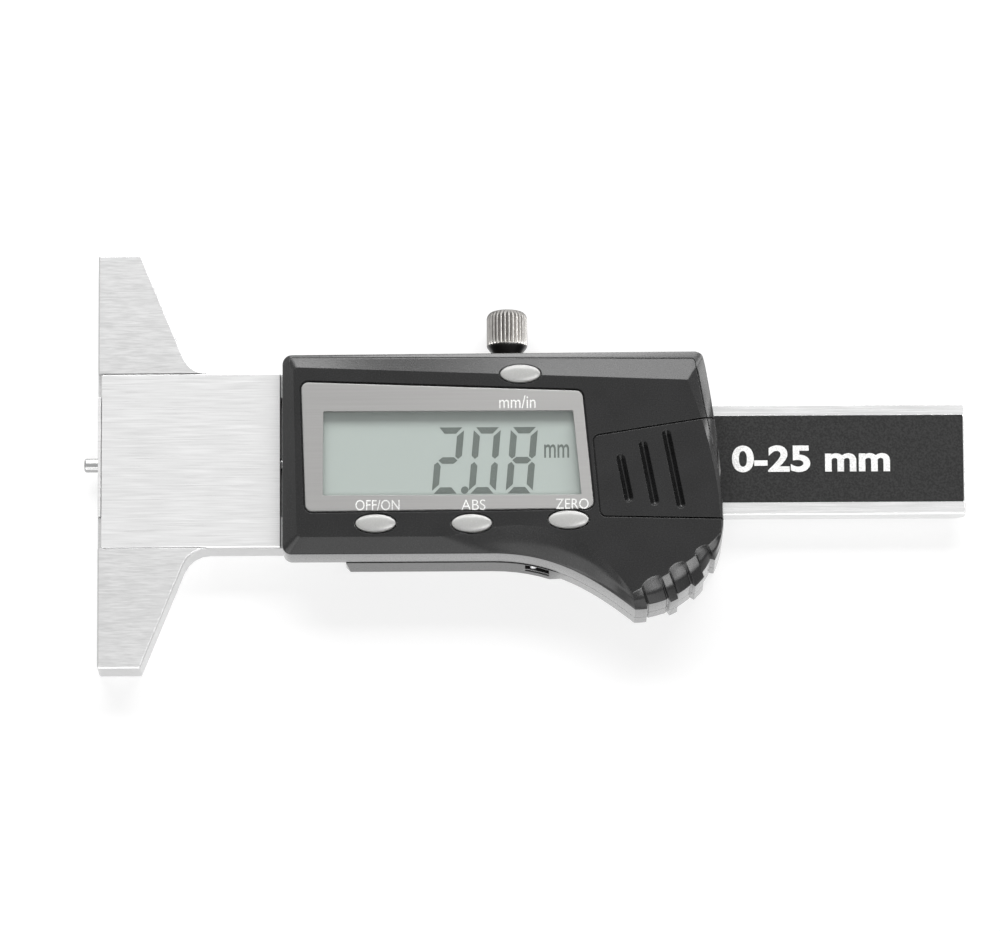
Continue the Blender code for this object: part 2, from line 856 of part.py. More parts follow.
# Shares of the housing's outline chosen by eye: control points of the sweep and of the right side
sweep_ahead_shares = (0.43, 0.0)
sweep_behind_shares = (0.71, 0.43)
side_ahead_shares = (0.03, 0.30)
side_behind_shares = (0.40, 0.62)
grip_bump_share = 0.40


def wall_outline():
    """Outline of the housing's walls, from the lower left corner anticlockwise, as (x, y) pairs.

    The lower edge sweeps down along a cubic curve to the grip, a quarter circle with ridges, and
    the right side leans in towards the top.
    """
    bottom = -housing_low
    top = housing_high
    start = (along_housing(sweep_start_share), bottom)
    left = rounded([(housing_start, top), (housing_start, bottom), start],
                   [0, corner_radius, 0])[1:1 + corner_steps]
    end = (grip_x, bottom - grip_drop)
    width, drop = end[0] - start[0], end[1] - start[1]
    ahead = (start[0] + sweep_ahead_shares[0] * width, start[1] + sweep_ahead_shares[1] * drop)
    behind = (start[0] + sweep_behind_shares[0] * width, start[1] + sweep_behind_shares[1] * drop)
    sweep = bezier(start, ahead, behind, end, sweep_steps)
    grip = []
    for i in range(grip_steps + 1):
        turn = i / grip_steps
        angle = -math.pi / 2 * (1 - turn)
        radius = grip_radius - grip_ridge_depth * ridge_hollow(turn)
        grip.append((grip_x + radius * math.cos(angle), grip_y + radius * math.sin(angle)))
    side_top = (housing_end - right_lean, top + housing_top_rise)
    rise = side_top[1] - grip_y
    p1 = (housing_end - side_ahead_shares[0] * right_lean, grip_y + side_ahead_shares[1] * rise)
    p2 = (housing_end - side_behind_shares[0] * right_lean, grip_y + side_behind_shares[1] * rise)
    lower = (side_top[0] + corner_radius * right_lean / rise * 2, side_top[1] - corner_radius)
    side = bezier((housing_end, grip_y), p1, p2, lower, side_steps)[1:]
    corner = rounded([p2, side_top, (housing_start, top)], [0, corner_radius, 0])[1:1 + corner_steps]
    last = rounded([side_top, (housing_start, top), (housing_start, bottom)],
                   [0, corner_radius, 0])[1:1 + corner_steps]
    return left + sweep + grip + side + corner + last


def ridge_hollow(turn):
    """How deep the grip is at a share of its quarter turn: 0 on a ridge, 1 in a hollow between."""
    phase = ((turn * math.pi / 2 - grip_first_ridge) / grip_ridge_pitch + grip_bump_share / 2) % 1
    if phase < grip_bump_share:
        return 0.0
    hollow = (phase - grip_bump_share) / (1 - grip_bump_share)
    return min(1.0, 3 * math.sin(math.pi * hollow))


# Shares for the face's outline: control points of its sweep, grip edge and right side
face_sweep_start_share = 0.38
face_sweep_ahead_shares = (0.51, -0.44)
face_sweep_behind_shares = (0.76, -0.10)
face_grip_inset_shares = (0.03, 0.16)
face_grip_ahead_shares = (0.22, 0.20)
face_grip_behind_shares = (0.62, 0.42)
face_side_shares = (0.45, 0.60)

# How far in and how far up the bevel's two middle rings lie, as shares of its width and height
flat_shares = ((0.08, 0.12), (0.50, 0.52))
scoop_shares = ((0.10, 0.20), (0.48, 0.70))
rolled_shares = ((0.12, 0.48), (0.48, 0.86))
rim_shares = ((0.20, 0.20), (0.55, 0.50))
wedge_right_shares = ((0.12, 0.18), (0.26, 0.36))
wedge_left_shares = ((0.20, 0.18), (0.50, 0.40))


def face_outline():
    """Outline of the flat front face, point for point with wall_outline."""
    bottom = -housing_low + bevel_width
    top_left = housing_high - wedge_width_left
    top_right = housing_high - wedge_width_right
    top_mid = housing_high - wedge_width_mid
    low_left = (housing_start + bevel_width, bottom)
    high_left = (housing_start + left_bevel_top, top_left)
    start = (along_housing(face_sweep_start_share), bottom)
    left = rounded([high_left, low_left, start], [0, corner_radius / 2, 0])[1:1 + corner_steps]
    end = (grip_x - face_grip_inset_shares[0] * grip_radius,
           -housing_low - grip_drop + face_grip_inset_shares[1] * grip_radius)
    width, drop = end[0] - start[0], bottom - end[1]
    ahead = (start[0] + face_sweep_ahead_shares[0] * width, bottom - face_sweep_ahead_shares[1] * drop)
    behind = (start[0] + face_sweep_behind_shares[0] * width, bottom - face_sweep_behind_shares[1] * drop)
    sweep = bezier(start, ahead, behind, end, sweep_steps)
    finish = (housing_end - bevel_width / 5, grip_y - face_grip_inset_shares[1] * grip_radius)
    span, climb = finish[0] - end[0], finish[1] - end[1]
    a = (end[0] + face_grip_ahead_shares[0] * span, end[1] + face_grip_ahead_shares[1] * climb)
    b = (end[0] + face_grip_behind_shares[0] * span, end[1] + face_grip_behind_shares[1] * climb)
    grip = bezier(end, a, b, finish, grip_steps) + [finish]
    high_right = (housing_end - right_lean - bevel_width, top_right)
    climb = high_right[1] - finish[1]
    p1 = (finish[0], finish[1] + climb * face_side_shares[0])
    p2 = (finish[0] - bevel_width / 3, finish[1] + climb * face_side_shares[1])
    side = bezier(finish, p1, p2, high_right, side_steps)[1:]
    mid = ((high_left[0] + high_right[0]) / 2, top_mid)
    corner = rounded([p2, high_right, mid], [0, corner_radius / 4, 0])[1:1 + corner_steps]
    last = rounded([mid, high_left, low_left], [0, corner_radius / 2, 0])[1:1 + corner_steps]
    return left + sweep + grip + side + corner + last


def bevel_shares():
    """For each outline point, how far in and how far up the bevel's two middle rings lie.

    The lower and left bevels are flat, the sweep and the grip are rounded over, and the top has a
    narrow rounding under a wide flat wedge.
    """
    def between(a, b, t):
        t = t * t * (3 - 2 * t)
        return tuple(tuple(p + (q - p) * t for p, q in zip(m, n)) for m, n in zip(a, b))

    shares = [flat_shares] * corner_steps
    shares += [between(flat_shares, scoop_shares, min(1, 2 * i / sweep_steps)) for i in range(sweep_steps)]
    edge = grip_steps / 8
    for i in range(grip_steps + 1):
        near_start = between(scoop_shares, rolled_shares, min(1, i / edge))
        shares.append(between(near_start, rim_shares, max(0, (i - grip_steps + edge) / edge)))
    shares += [rim_shares] * (side_steps - 1)
    last = corner_steps - 1
    shares += [between(rim_shares, wedge_right_shares, i / last) for i in range(corner_steps)]
    shares += [between(wedge_left_shares, flat_shares, i / last) for i in range(corner_steps)]
    return shares


def housing_loft(bottom):
    """Outer form of the front housing, from a level up to its face."""
    wall = wall_outline()
    face = face_outline()
    shares = bevel_shares()
    rings = [at_level(wall, bottom), at_level(wall, wall_top)]
    for k in (0, 1):
        rings.append([
            (w[0] + s[k][0] * (f[0] - w[0]), w[1] + s[k][0] * (f[1] - w[1]),
             wall_top + s[k][1] * bevel_height)
            for w, f, s in zip(wall, face, shares)
        ])
    rings.append(at_level(face, face_z))
    return loft(rings)


def cavity_outline():
    """Inside of the housing's walls; the grip stays solid."""
    left, right = housing_start + wall_thickness, housing_end - wall_thickness - bevel_width / 3
    low, high = -housing_low + wall_thickness, housing_high - wall_thickness
    return rounded([
        (left, low), (right, low), (right, (low + high) / 2), (right - right_lean / 2, high), (left, high),
    ], corner_radius / 2)


def lens_outline(grow=0.0):
    """Four-sided lens with rounded corners, wider at its left end."""
    corners = [
        (lens_left + lens_slant_left, -lens_low_left),
        (lens_right, -lens_low_right),
        (lens_right - lens_slant_right, lens_high_right),
        (lens_left, lens_high_left),
    ]
    outline = rounded(corners, lens_corner_radius)
    return inset(outline, -grow) if grow else outline


def door_edges(x):
    """Lower and upper edge of the battery door at a place along X."""
    run = (x - door_left) / (housing_end - door_left)
    return -door_low - door_low_drop * run, door_high + door_high_rise * run


def door_outline(gap):
    """Battery door seen from the front, widened all round by gap; it runs past the housing's side."""
    past = housing_end + overrun * 2
    start = door_left + door_left_slant
    corners = [
        (start, door_edges(start)[0]),
        (past, door_edges(past)[0]),
        (past, door_edges(past)[1]),
        (door_left, door_edges(door_left)[1]),
    ]
    return inset(rounded(corners, [door_corner_radius, 0, 0, door_corner_radius]), -gap)


def door_lip_outline(gap):
    """The part of the door's outline that turns down over the housing's side, widened by gap.

    It stays a seat gap inside the door's own edges.
    """
    start = cell_x + cell_diameter / 2 + door_lip_wall
    past = housing_end + overrun * 2
    corners = [
        (start, door_edges(start)[0]),
        (past, door_edges(past)[0]),
        (past, door_edges(past)[1]),
        (start, door_edges(start)[1]),
    ]
    return inset(corners, seat_gap - gap)


def make_front_housing(head):
    """Moulded front shell: lofted outside, hollow inside, with bosses, window, holes and door bay."""
    housing = piece("front_housing", housing_loft(housing_bottom), "housing_black", head)
    cavity = tool("housing_cavity", prism(cavity_outline(), housing_bottom - overrun, cavity_top), head)
    join_bosses(cavity, head)
    combine(housing, cavity, "DIFFERENCE")
    cut(housing, "neck_seat", box(
        housing_start - overrun, neck_face_length + fit_gap, -neck_half - fit_gap, neck_half + fit_gap,
        housing_bottom - overrun, base_thickness + seat_gap), head)
    cut(housing, "lens_recess", prism(lens_outline(fit_gap), lens_floor, face_z + overrun), head)
    window = rounded([
        (window_left - lcd_margin / 2, -window_low - lcd_margin / 2),
        (window_right + lcd_margin / 2, -window_low - lcd_margin / 2),
        (window_right + lcd_margin / 2, window_high + lcd_margin / 2),
        (window_left - lcd_margin / 2, window_high + lcd_margin / 2),
    ], lens_corner_radius / 2)
    cut(housing, "lcd_aperture", prism(window, cavity_top - overrun, lens_floor + overrun), head)
    for name, (x, y) in button_places():
        hole = moved(oval(button_length + fit_gap * 2, button_width + fit_gap * 2), x, y)
        cut(housing, f"{name}_hole", prism(hole, cavity_top - overrun, face_z + overrun), head)
    cut(housing, "door_bay", prism(
        door_outline(door_gap / 2), door_bottom - slide_gap, face_z + overrun), head)
    cut(housing, "door_lip_bay", prism(
        door_lip_outline(door_gap / 2), face_z - door_lip_drop - door_gap / 2, door_bottom), head)
    for name, (x0, y0, y1) in door_rails().items():
        cut(housing, f"{name}_groove", box(
            x0 - door_gap, housing_end + overrun * 3, y0 - door_gap / 2, y1 + door_gap / 2,
            door_bottom - rail_tongue_height - door_gap, door_bottom + door_gap), head)
    cut(housing, "cell_pocket", rod_along(
        face_z, cell_diameter / 2 + fit_gap, round_steps), head, (cell_x, cell_y, pocket_top))
    slot_low = cell_y - contact_width / 2 - fit_gap
    cut(housing, "minus_contact_slot", box(
        cell_x - cell_diameter / 2 - pocket_wall * 2, cell_x - cell_diameter / 2 + pocket_wall,
        slot_low, slot_low + contact_width + fit_gap * 2, pocket_top, board_top + contact_width / 2), head)
    leaf = cell_y + cell_diameter / 2
    cut(housing, "plus_contact_slot", box(
        cell_x - cell_diameter / 2 - pocket_wall * 2, cell_x + contact_width,
        leaf - fit_gap, leaf + pocket_wall / 2,
        board_top, cell_top - contact_width / 2 + fit_gap), head)
    for i, (x, y) in enumerate(cover_screw_places()):
        cut(housing, f"cover_screw_thread_{i + 1}", rod_along(
            cover_screw_length, cover_screw_diameter / 2 + running_gap), head,
            (x, y, cover_screw_head_height + seat_gap))
    for i, side in enumerate((-1, 1)):
        cut(housing, f"frame_screw_thread_{i + 1}", rod_along(
            frame_screw_length, frame_screw_diameter / 2 + running_gap), head,
            (frame_screw_x, side * frame_screw_y, frame_screw_head / 2))
    cut(housing, "housing_lock_hole", rod_along(
        wall_thickness * 3, lock_neck_diameter / 2 + lock_hole_clearance), head,
        (lock_x, housing_high - wall_thickness * 2, rod_z), along_y)
    cut(housing, "beam_exit", box(
        housing_end - wall_thickness * 4, housing_end + overrun, -channel_low, beam_width / 2 + slide_gap,
        housing_bottom - overrun, tail_top), head)
    return housing


def join_bosses(cavity, head):
    """Leave the screw bosses and the battery's cup standing in the hollow.

    The bosses are turned by half a facet, so that no corner of theirs lines up with their screw's.
    """
    depth = cavity_top + overrun
    half_facet = (0, 0, math.pi / small_round_steps)
    for i, (x, y) in enumerate(cover_screw_places()):
        if y > cell_y - cell_diameter:
            cut(cavity, f"cover_boss_{i + 1}", rod_along(depth, boss_diameter / 2), head,
                (x, y, 0), half_facet)
    for i, side in enumerate((-1, 1)):
        cut(cavity, f"frame_boss_{i + 1}", rod_along(depth, boss_diameter / 2), head,
            (frame_screw_x, side * frame_screw_y, tail_top + seat_gap), half_facet)
    cut(cavity, "cell_cup", rod_along(depth, cell_diameter / 2 + pocket_wall + fit_gap, round_steps), head,
        (cell_x, cell_y, pocket_bottom))


def door_rails():
    """The door's two tongues, one each side of the cell: start along X and two edges across the tool."""
    high = cell_y + cell_diameter / 2 + door_gap
    low = cell_y - cell_diameter / 2 - fit_gap
    return {
        "high_rail": (door_left + door_left_slant * 3, high, high + rail_tongue_high_width),
        "low_rail": (door_left + door_left_slant * 2, low - rail_tongue_low_width, low),
    }


def make_battery_door(head):
    """Sliding door: a slice of the housing's own form with grooves for the thumb and two tongues."""
    body = empty("battery_door_body", (door_left, 0, door_bottom), head)
    shift = (-door_left, 0, -door_bottom)
    door = piece("battery_door", housing_loft(housing_bottom), "housing_black", body, shift)
    keep_face = tool("door_face_limit", prism(
        door_outline(-door_gap / 2), door_bottom, face_z + overrun), body, shift)
    join(keep_face, "door_lip_limit", prism(
        door_lip_outline(-door_gap / 2), face_z - door_lip_drop, door_bottom + door_thickness / 2),
        body, shift)
    combine(door, keep_face, "INTERSECT")
    length = door_groove_width * 7
    for name, (x0, y0, y1) in door_rails().items():
        join(door, name, box(
            x0, x0 + length / 2, y0, y1, door_bottom - rail_tongue_height, door_bottom + seat_gap),
            body, shift)
    for i, (x, y, reach, lean) in enumerate(door_grooves()):
        groove = moved(slot(reach, door_groove_width), x, y, math.pi / 2 + lean)
        cut(door, f"door_groove_{i + 1}", prism(
            groove, face_z - door_groove_depth, face_z + overrun), body, shift)
    return body


# The thumb grooves, as shares of the door's length and height, and their lean in radians
groove_place_shares = ((0.215, 0.47), (0.400, 0.53), (0.590, 0.58))
groove_length_shares = (0.61, 0.82, 1.00)
groove_lean = 0.19


def door_grooves():
    """Centre, length and lean of each thumb groove in the door."""
    run, rise = housing_end - door_left, door_low + door_high
    return [
        (door_left + u * run + door_left_slant / 2, -door_low + v * rise, share * rise, groove_lean)
        for (u, v), share in zip(groove_place_shares, groove_length_shares)
    ]


def button_places():
    """Name and place of each push button."""
    return (
        ("button_unit", (along_housing(button_unit_share), housing_high - button_unit_inset)),
        ("button_power", (along_housing(button_power_share), button_power_inset - housing_low)),
        ("button_abs", (along_housing(button_abs_share), button_abs_inset - housing_low)),
        ("button_zero", (door_left - button_zero_margin, button_zero_inset - housing_low)),
    )


def make_buttons(head):
    """Oval domed buttons held behind the face by a flange, each over its switch."""
    top = face_z + button_proud
    flange_top = cavity_top - seat_gap
    flange_bottom = flange_top - button_flange_height
    stem_bottom = board_top + switch_height + slide_gap + button_travel + slide_gap
    outer = oval(button_length, button_width)
    for name, (x, y) in button_places():
        body = empty(f"{name}_body", (x, y, face_z), head)
        foot = oval(button_stem_diameter, button_stem_diameter)
        wide = oval(button_length + button_flange * 2, button_width + button_flange)
        rings = [at_level(foot, stem_bottom), at_level(foot, flange_bottom)]
        rings += [at_level(wide, flange_bottom), at_level(wide, flange_top)]
        rings += [at_level(outer, flange_top), at_level(outer, top - button_crown)]
        for i in (1, 2, 3):
            angle = math.pi / 2 * i / 4
            level = top - button_crown * (1 - math.sin(angle))
            share = math.cos(angle)
            rings.append(at_level([(px * share, py * share) for px, py in outer], level))
        piece(name, loft(rings), "button_silver", body, (0, 0, -face_z), smooth=True)
        make_switch(name, x, y, head)


def make_switch(name, x, y, head):
    """Small push switch on the board: a square case with a round plunger."""
    half_x, half_y = switch_length / 2, switch_width / 2
    case = rounded([(-half_x, -half_y), (half_x, -half_y), (half_x, half_y), (-half_x, half_y)], edge_chamfer)
    plunger = oval(switch_plunger_diameter, switch_plunger_diameter, len(case))
    case_top = board_top + seat_gap + switch_height * switch_case_share
    start = min(range(len(case)), key=lambda i: abs(math.atan2(case[i][1], case[i][0])))
    case = case[start:] + case[:start]
    rings = [
        at_level(case, board_top + seat_gap),
        at_level(case, case_top),
        at_level(plunger, case_top),
        at_level(plunger, board_top + switch_height),
    ]
    piece(name.replace("button", "switch"), loft(rings), "chip_black", head, (x, y, 0))


def make_display(head):
    """Lens, liquid crystal panel and the two rubber strips that connect it to the board."""
    lens = chamfered(lens_outline(), lens_floor + seat_gap, face_z, edge_chamfer / 2)
    piece("display_lens", lens, "lens_grey", head)
    x0, x1 = window_left - lcd_margin, window_right + lcd_margin
    y0, y1 = -window_low - lcd_margin, window_high + lcd_margin
    panel = rounded([(x0, y0), (x1, y0), (x1, y1), (x0, y1)], edge_chamfer)
    piece("lcd_panel", prism(panel, lcd_bottom, lcd_top), "lcd_grey", head)
    bottom, top = board_top + seat_gap, lcd_bottom - seat_gap
    for name, y in (("zebra_strip_low", y0 + zebra_width), ("zebra_strip_high", y1 - zebra_width)):
        strip = rounded([
            (board_start + zebra_width, y - zebra_width / 2), (x1 - zebra_width, y - zebra_width / 2),
            (x1 - zebra_width, y + zebra_width / 2), (board_start + zebra_width, y + zebra_width / 2),
        ], edge_chamfer)
        piece(name, prism(strip, bottom, top), "rubber_grey", head)


def make_board(head):
    """Circuit board on the rails of the tail, with its screws and its sensor chip."""
    low, high = -housing_low + wall_thickness + board_edge_gap, housing_high - wall_thickness - board_edge_gap
    corners = [(board_start, low), (board_end, low), (board_end, high), (board_start, high)]
    outline = rounded(corners, edge_chamfer * 3)
    board = piece("main_board", prism(outline, board_bottom, board_top), "board_green", head)
    for i, (x, y) in enumerate(cover_screw_places()[:2]):
        cut(board, f"board_notch_{i + 1}", rod_along(
            board_thickness + overrun * 2, boss_diameter / 2 + fit_gap * 2), head,
            (x, y, board_bottom - overrun))
    for i, (x, y) in enumerate(board_screw_places()):
        cut(board, f"board_hole_{i + 1}", rod_along(
            board_thickness + overrun * 2, board_screw_diameter / 2 + fit_gap), head,
            (x, y, board_bottom - overrun))
        radius, head_radius = board_screw_diameter / 2, board_screw_head / 2
        length = board_thickness + tail_top / 3
        bm = turned([
            (0, 0),
            (radius, radius / 2),
            (radius, length),
            (head_radius, length),
            (head_radius, length + board_screw_head_height),
            (head_radius / 2, length + board_screw_head_height),
            (head_radius / 3, length + board_screw_head_height / 2),
            (0, length + board_screw_head_height / 2),
        ], small_round_steps)
        piece(f"board_screw_{i + 1}", bm, "screw_steel", head,
              (x, y, board_top + seat_gap - length), smooth=True)
    half = chip_size / 2
    chip = rounded([(-half, -half), (half, -half), (half, half), (-half, half)], edge_chamfer)
    piece("sensor_chip", chamfered(chip, 0, chip_height, edge_chamfer), "chip_black", head,
          (along_housing(chip_share), 0, board_top + seat_gap))


# The cell's profile as shares of its radius and height: the cap below, the gasket step and the can
cell_profile_shares = ((0, 0), (0.62, 0), (0.66, 0.10), (0.90, 0.10), (1, 0.20), (1, 0.94), (0.96, 1), (0, 1))


def make_battery(head):
    """Button cell in its cup and its two spring contacts."""
    radius = cell_diameter / 2
    profile = [(across * radius, up * cell_height) for across, up in cell_profile_shares]
    piece("battery", turned(profile), "cell_steel", head, (cell_x, cell_y, cell_bottom), smooth=True)
    half = contact_width / 2
    near = cell_x - radius - fit_gap * 2
    strip = [
        (cell_x + half * 2, contact_bottom),
        (cell_x + half * 2, contact_bottom + contact_thickness),
        (near, contact_bottom + contact_thickness),
        (near - pocket_wall / 2, board_top + seat_gap + contact_thickness),
        (board_end - contact_width / 2, board_top + seat_gap + contact_thickness),
        (board_end - contact_width / 2, board_top + seat_gap),
        (near - pocket_wall / 2 - contact_thickness, board_top + seat_gap),
        (near - contact_thickness, contact_bottom),
    ]
    bm = loft([[(x, y, z) for x, z in strip] for y in (cell_y - half, cell_y + half)])
    piece("battery_contact_minus", bm, "contact_nickel", head)
    inner = cell_y + radius + seat_gap
    bottom = board_top + seat_gap
    leaf = [
        (board_end - contact_width / 2, bottom),
        (cell_x + half, bottom),
        (cell_x + half, cell_top - half),
        (cell_x - half * 2, cell_top - half),
        (cell_x - half * 2, bottom + contact_width),
        (board_end - contact_width / 2, bottom + contact_width),
    ]
    bm = loft([[(x, y, z) for x, z in leaf] for y in (inner, inner + contact_thickness)])
    piece("battery_contact_plus", bm, "contact_nickel", head)


def rear_outline(out):
    """Plan of the rear cover: the housing's outline from the neck on, with a ledge along its lower edge.

    The ledge stands out by out between the cover's left end and the side notch.
    """
    wall = wall_outline()
    start = neck_length + fit_gap
    ledge_end = side_notch_x + side_notch_length * 5 / 8
    outline = [(start, -housing_low), (start, -housing_low - out)]
    for i, (x, y) in enumerate(wall):
        first_half = i < corner_steps + sweep_steps
        if first_half and x <= start:
            continue
        if first_half and x < ledge_end:
            tx, ty = wall[i + 1][0] - wall[i - 1][0], wall[i + 1][1] - wall[i - 1][1]
            size = math.hypot(tx, ty)
            outline.append((x + out * ty / size, y - out * tx / size))
        elif i < len(wall) - corner_steps:
            outline.append((x, y))
    outline.append((start, housing_high + housing_top_rise * (start - housing_start) / housing_length))
    return outline


def make_rear_cover(head):
    """Rear half of the moulding: a rim round the steel tail, a bridge under the beam, and the ledge."""
    low = rear_outline(ledge_out)
    high = rear_outline(ledge_top_out)
    low[1] = (low[1][0] + ledge_end_slant, low[1][1])
    chamfer = edge_chamfer
    rings = [
        at_level(inset(low, chamfer), 0),
        at_level(low, chamfer),
        at_level(high, rear_cover_height),
    ]
    cover = piece("rear_cover", loft(rings), "housing_black", head)
    cut(cover, "tail_bay", box(
        neck_length - overrun, tail_length + fit_gap, -tail_low - fit_gap, tail_high + fit_gap,
        -overrun, rear_cover_height + overrun), head)
    cut(cover, "beam_bay", box(
        tail_length - overrun, housing_end + overrun, -channel_low, beam_width / 2 + slide_gap,
        rear_bridge_thickness, rear_cover_height + overrun), head)
    for i, (x, y) in enumerate(cover_screw_places()):
        cut(cover, f"cover_screw_hole_{i + 1}", sink(
            rear_cover_height + overrun, cover_screw_diameter / 2, cover_screw_head / 2,
            cover_screw_head_height),
            head, (x, y, 0))
        piece(f"cover_screw_{i + 1}", countersunk(
            cover_screw_length, cover_screw_diameter / 2, cover_screw_head / 2, cover_screw_head_height),
            "dark_steel", head, (x, y, seat_gap), smooth=True)
    cut(cover, "cover_lock_hole", rod_along(
        wall_thickness * 4, lock_neck_diameter / 2 + lock_hole_clearance), head,
        (lock_x, housing_high - wall_thickness * 3, rod_z), along_y)
    notch_z = rear_cover_height / 2
    half = side_notch_length / 2
    cut(cover, "side_notch", box(
        side_notch_x - half, side_notch_x + half,
        -housing_low - ledge_out * 4, -housing_low + side_notch_depth / 2,
        notch_z - side_notch_height / 2, notch_z + side_notch_height / 2), head)
    return cover


def make_frame_screws(head):
    """Two screws from the back of the neck up into the front housing's bosses."""
    for i, side in enumerate((-1, 1)):
        piece(f"frame_screw_{i + 1}", countersunk(
            frame_screw_length, frame_screw_diameter / 2, frame_screw_head / 2, frame_screw_head / 2),
            "screw_steel", head, (frame_screw_x, side * frame_screw_y, seat_gap), smooth=True)


def make_side_screw(head):
    """Small round-headed screw at the bottom of the side notch."""
    radius = side_screw_diameter / 2
    floor = -housing_low + side_notch_depth / 2 - seat_gap
    bm = turned([
        (0, 0), (radius, 0), (radius, radius / 2), (radius / 2, radius), (0, radius),
    ], small_round_steps)
    piece("side_screw", bm, "screw_steel", head,
          (side_notch_x - side_notch_length / 4, floor, rear_cover_height / 2), against_y, smooth=True)


def main():
    """Clear the scene and build every piece of the tool on its body."""
    for old in list(bpy.data.objects):
        bpy.data.objects.remove(old, do_unlink=True)
    head = empty("head_body", (-origin_depth, 0, 0))
    make_base(head)
    make_guide(head)
    make_cover_plate(head)
    make_gib(head)
    make_stop_pin(head)
    make_beam(head)
    make_lock(head)
    make_front_housing(head)
    make_rear_cover(head)
    make_frame_screws(head)
    make_side_screw(head)
    make_display(head)
    make_board(head)
    make_buttons(head)
    make_battery(head)
    make_battery_door(head)


main()
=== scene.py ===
"""Looks for a digital depth caliper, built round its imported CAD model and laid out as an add-on."""
import json
import math

import bmesh
import bpy
import numpy as np
from mathutils import Matrix, Vector


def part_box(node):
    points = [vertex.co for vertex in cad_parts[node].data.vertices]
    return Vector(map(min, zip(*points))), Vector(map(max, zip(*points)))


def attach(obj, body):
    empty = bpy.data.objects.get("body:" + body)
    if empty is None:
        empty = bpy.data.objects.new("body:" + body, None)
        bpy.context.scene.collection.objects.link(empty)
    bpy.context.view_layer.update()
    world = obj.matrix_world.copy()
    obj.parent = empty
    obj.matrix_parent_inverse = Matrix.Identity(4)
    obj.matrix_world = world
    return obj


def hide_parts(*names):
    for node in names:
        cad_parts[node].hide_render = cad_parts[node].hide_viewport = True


bl_info = {
    "name": "Depth caliper looks",
    "version": (1, 0, 0),
    "blender": (4, 5, 0),
    "location": "View3D > Sidebar > Depth caliper",
    "description": "Builds the finishes, display and stage of a digital depth caliper",
    "category": "Object",
}

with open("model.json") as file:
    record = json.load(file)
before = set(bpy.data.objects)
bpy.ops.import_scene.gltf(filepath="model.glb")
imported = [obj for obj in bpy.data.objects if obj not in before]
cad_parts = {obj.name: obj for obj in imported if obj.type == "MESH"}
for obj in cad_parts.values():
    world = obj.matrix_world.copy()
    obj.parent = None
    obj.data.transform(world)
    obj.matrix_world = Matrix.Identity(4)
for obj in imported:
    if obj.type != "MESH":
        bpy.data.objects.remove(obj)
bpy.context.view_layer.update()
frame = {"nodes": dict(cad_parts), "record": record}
mm, micron = 0.001, 0.000001

# Smooth shading stops at creases over an angle in degrees, round broad faces and round smaller level ones
crease_angle = 32.0
broad_area, level_area = 30 * mm ** 2, 0.3 * mm ** 2


class Term:
    """A shader socket in an expression: each operator on it adds one Math node."""

    def __init__(self, graph, socket):
        self.graph = graph
        self.socket = socket

    def __add__(self, other):
        return self.graph.math("ADD", self, other)

    def __mul__(self, other):
        return self.graph.math("MULTIPLY", self, other)

    __radd__, __rmul__ = __add__, __mul__


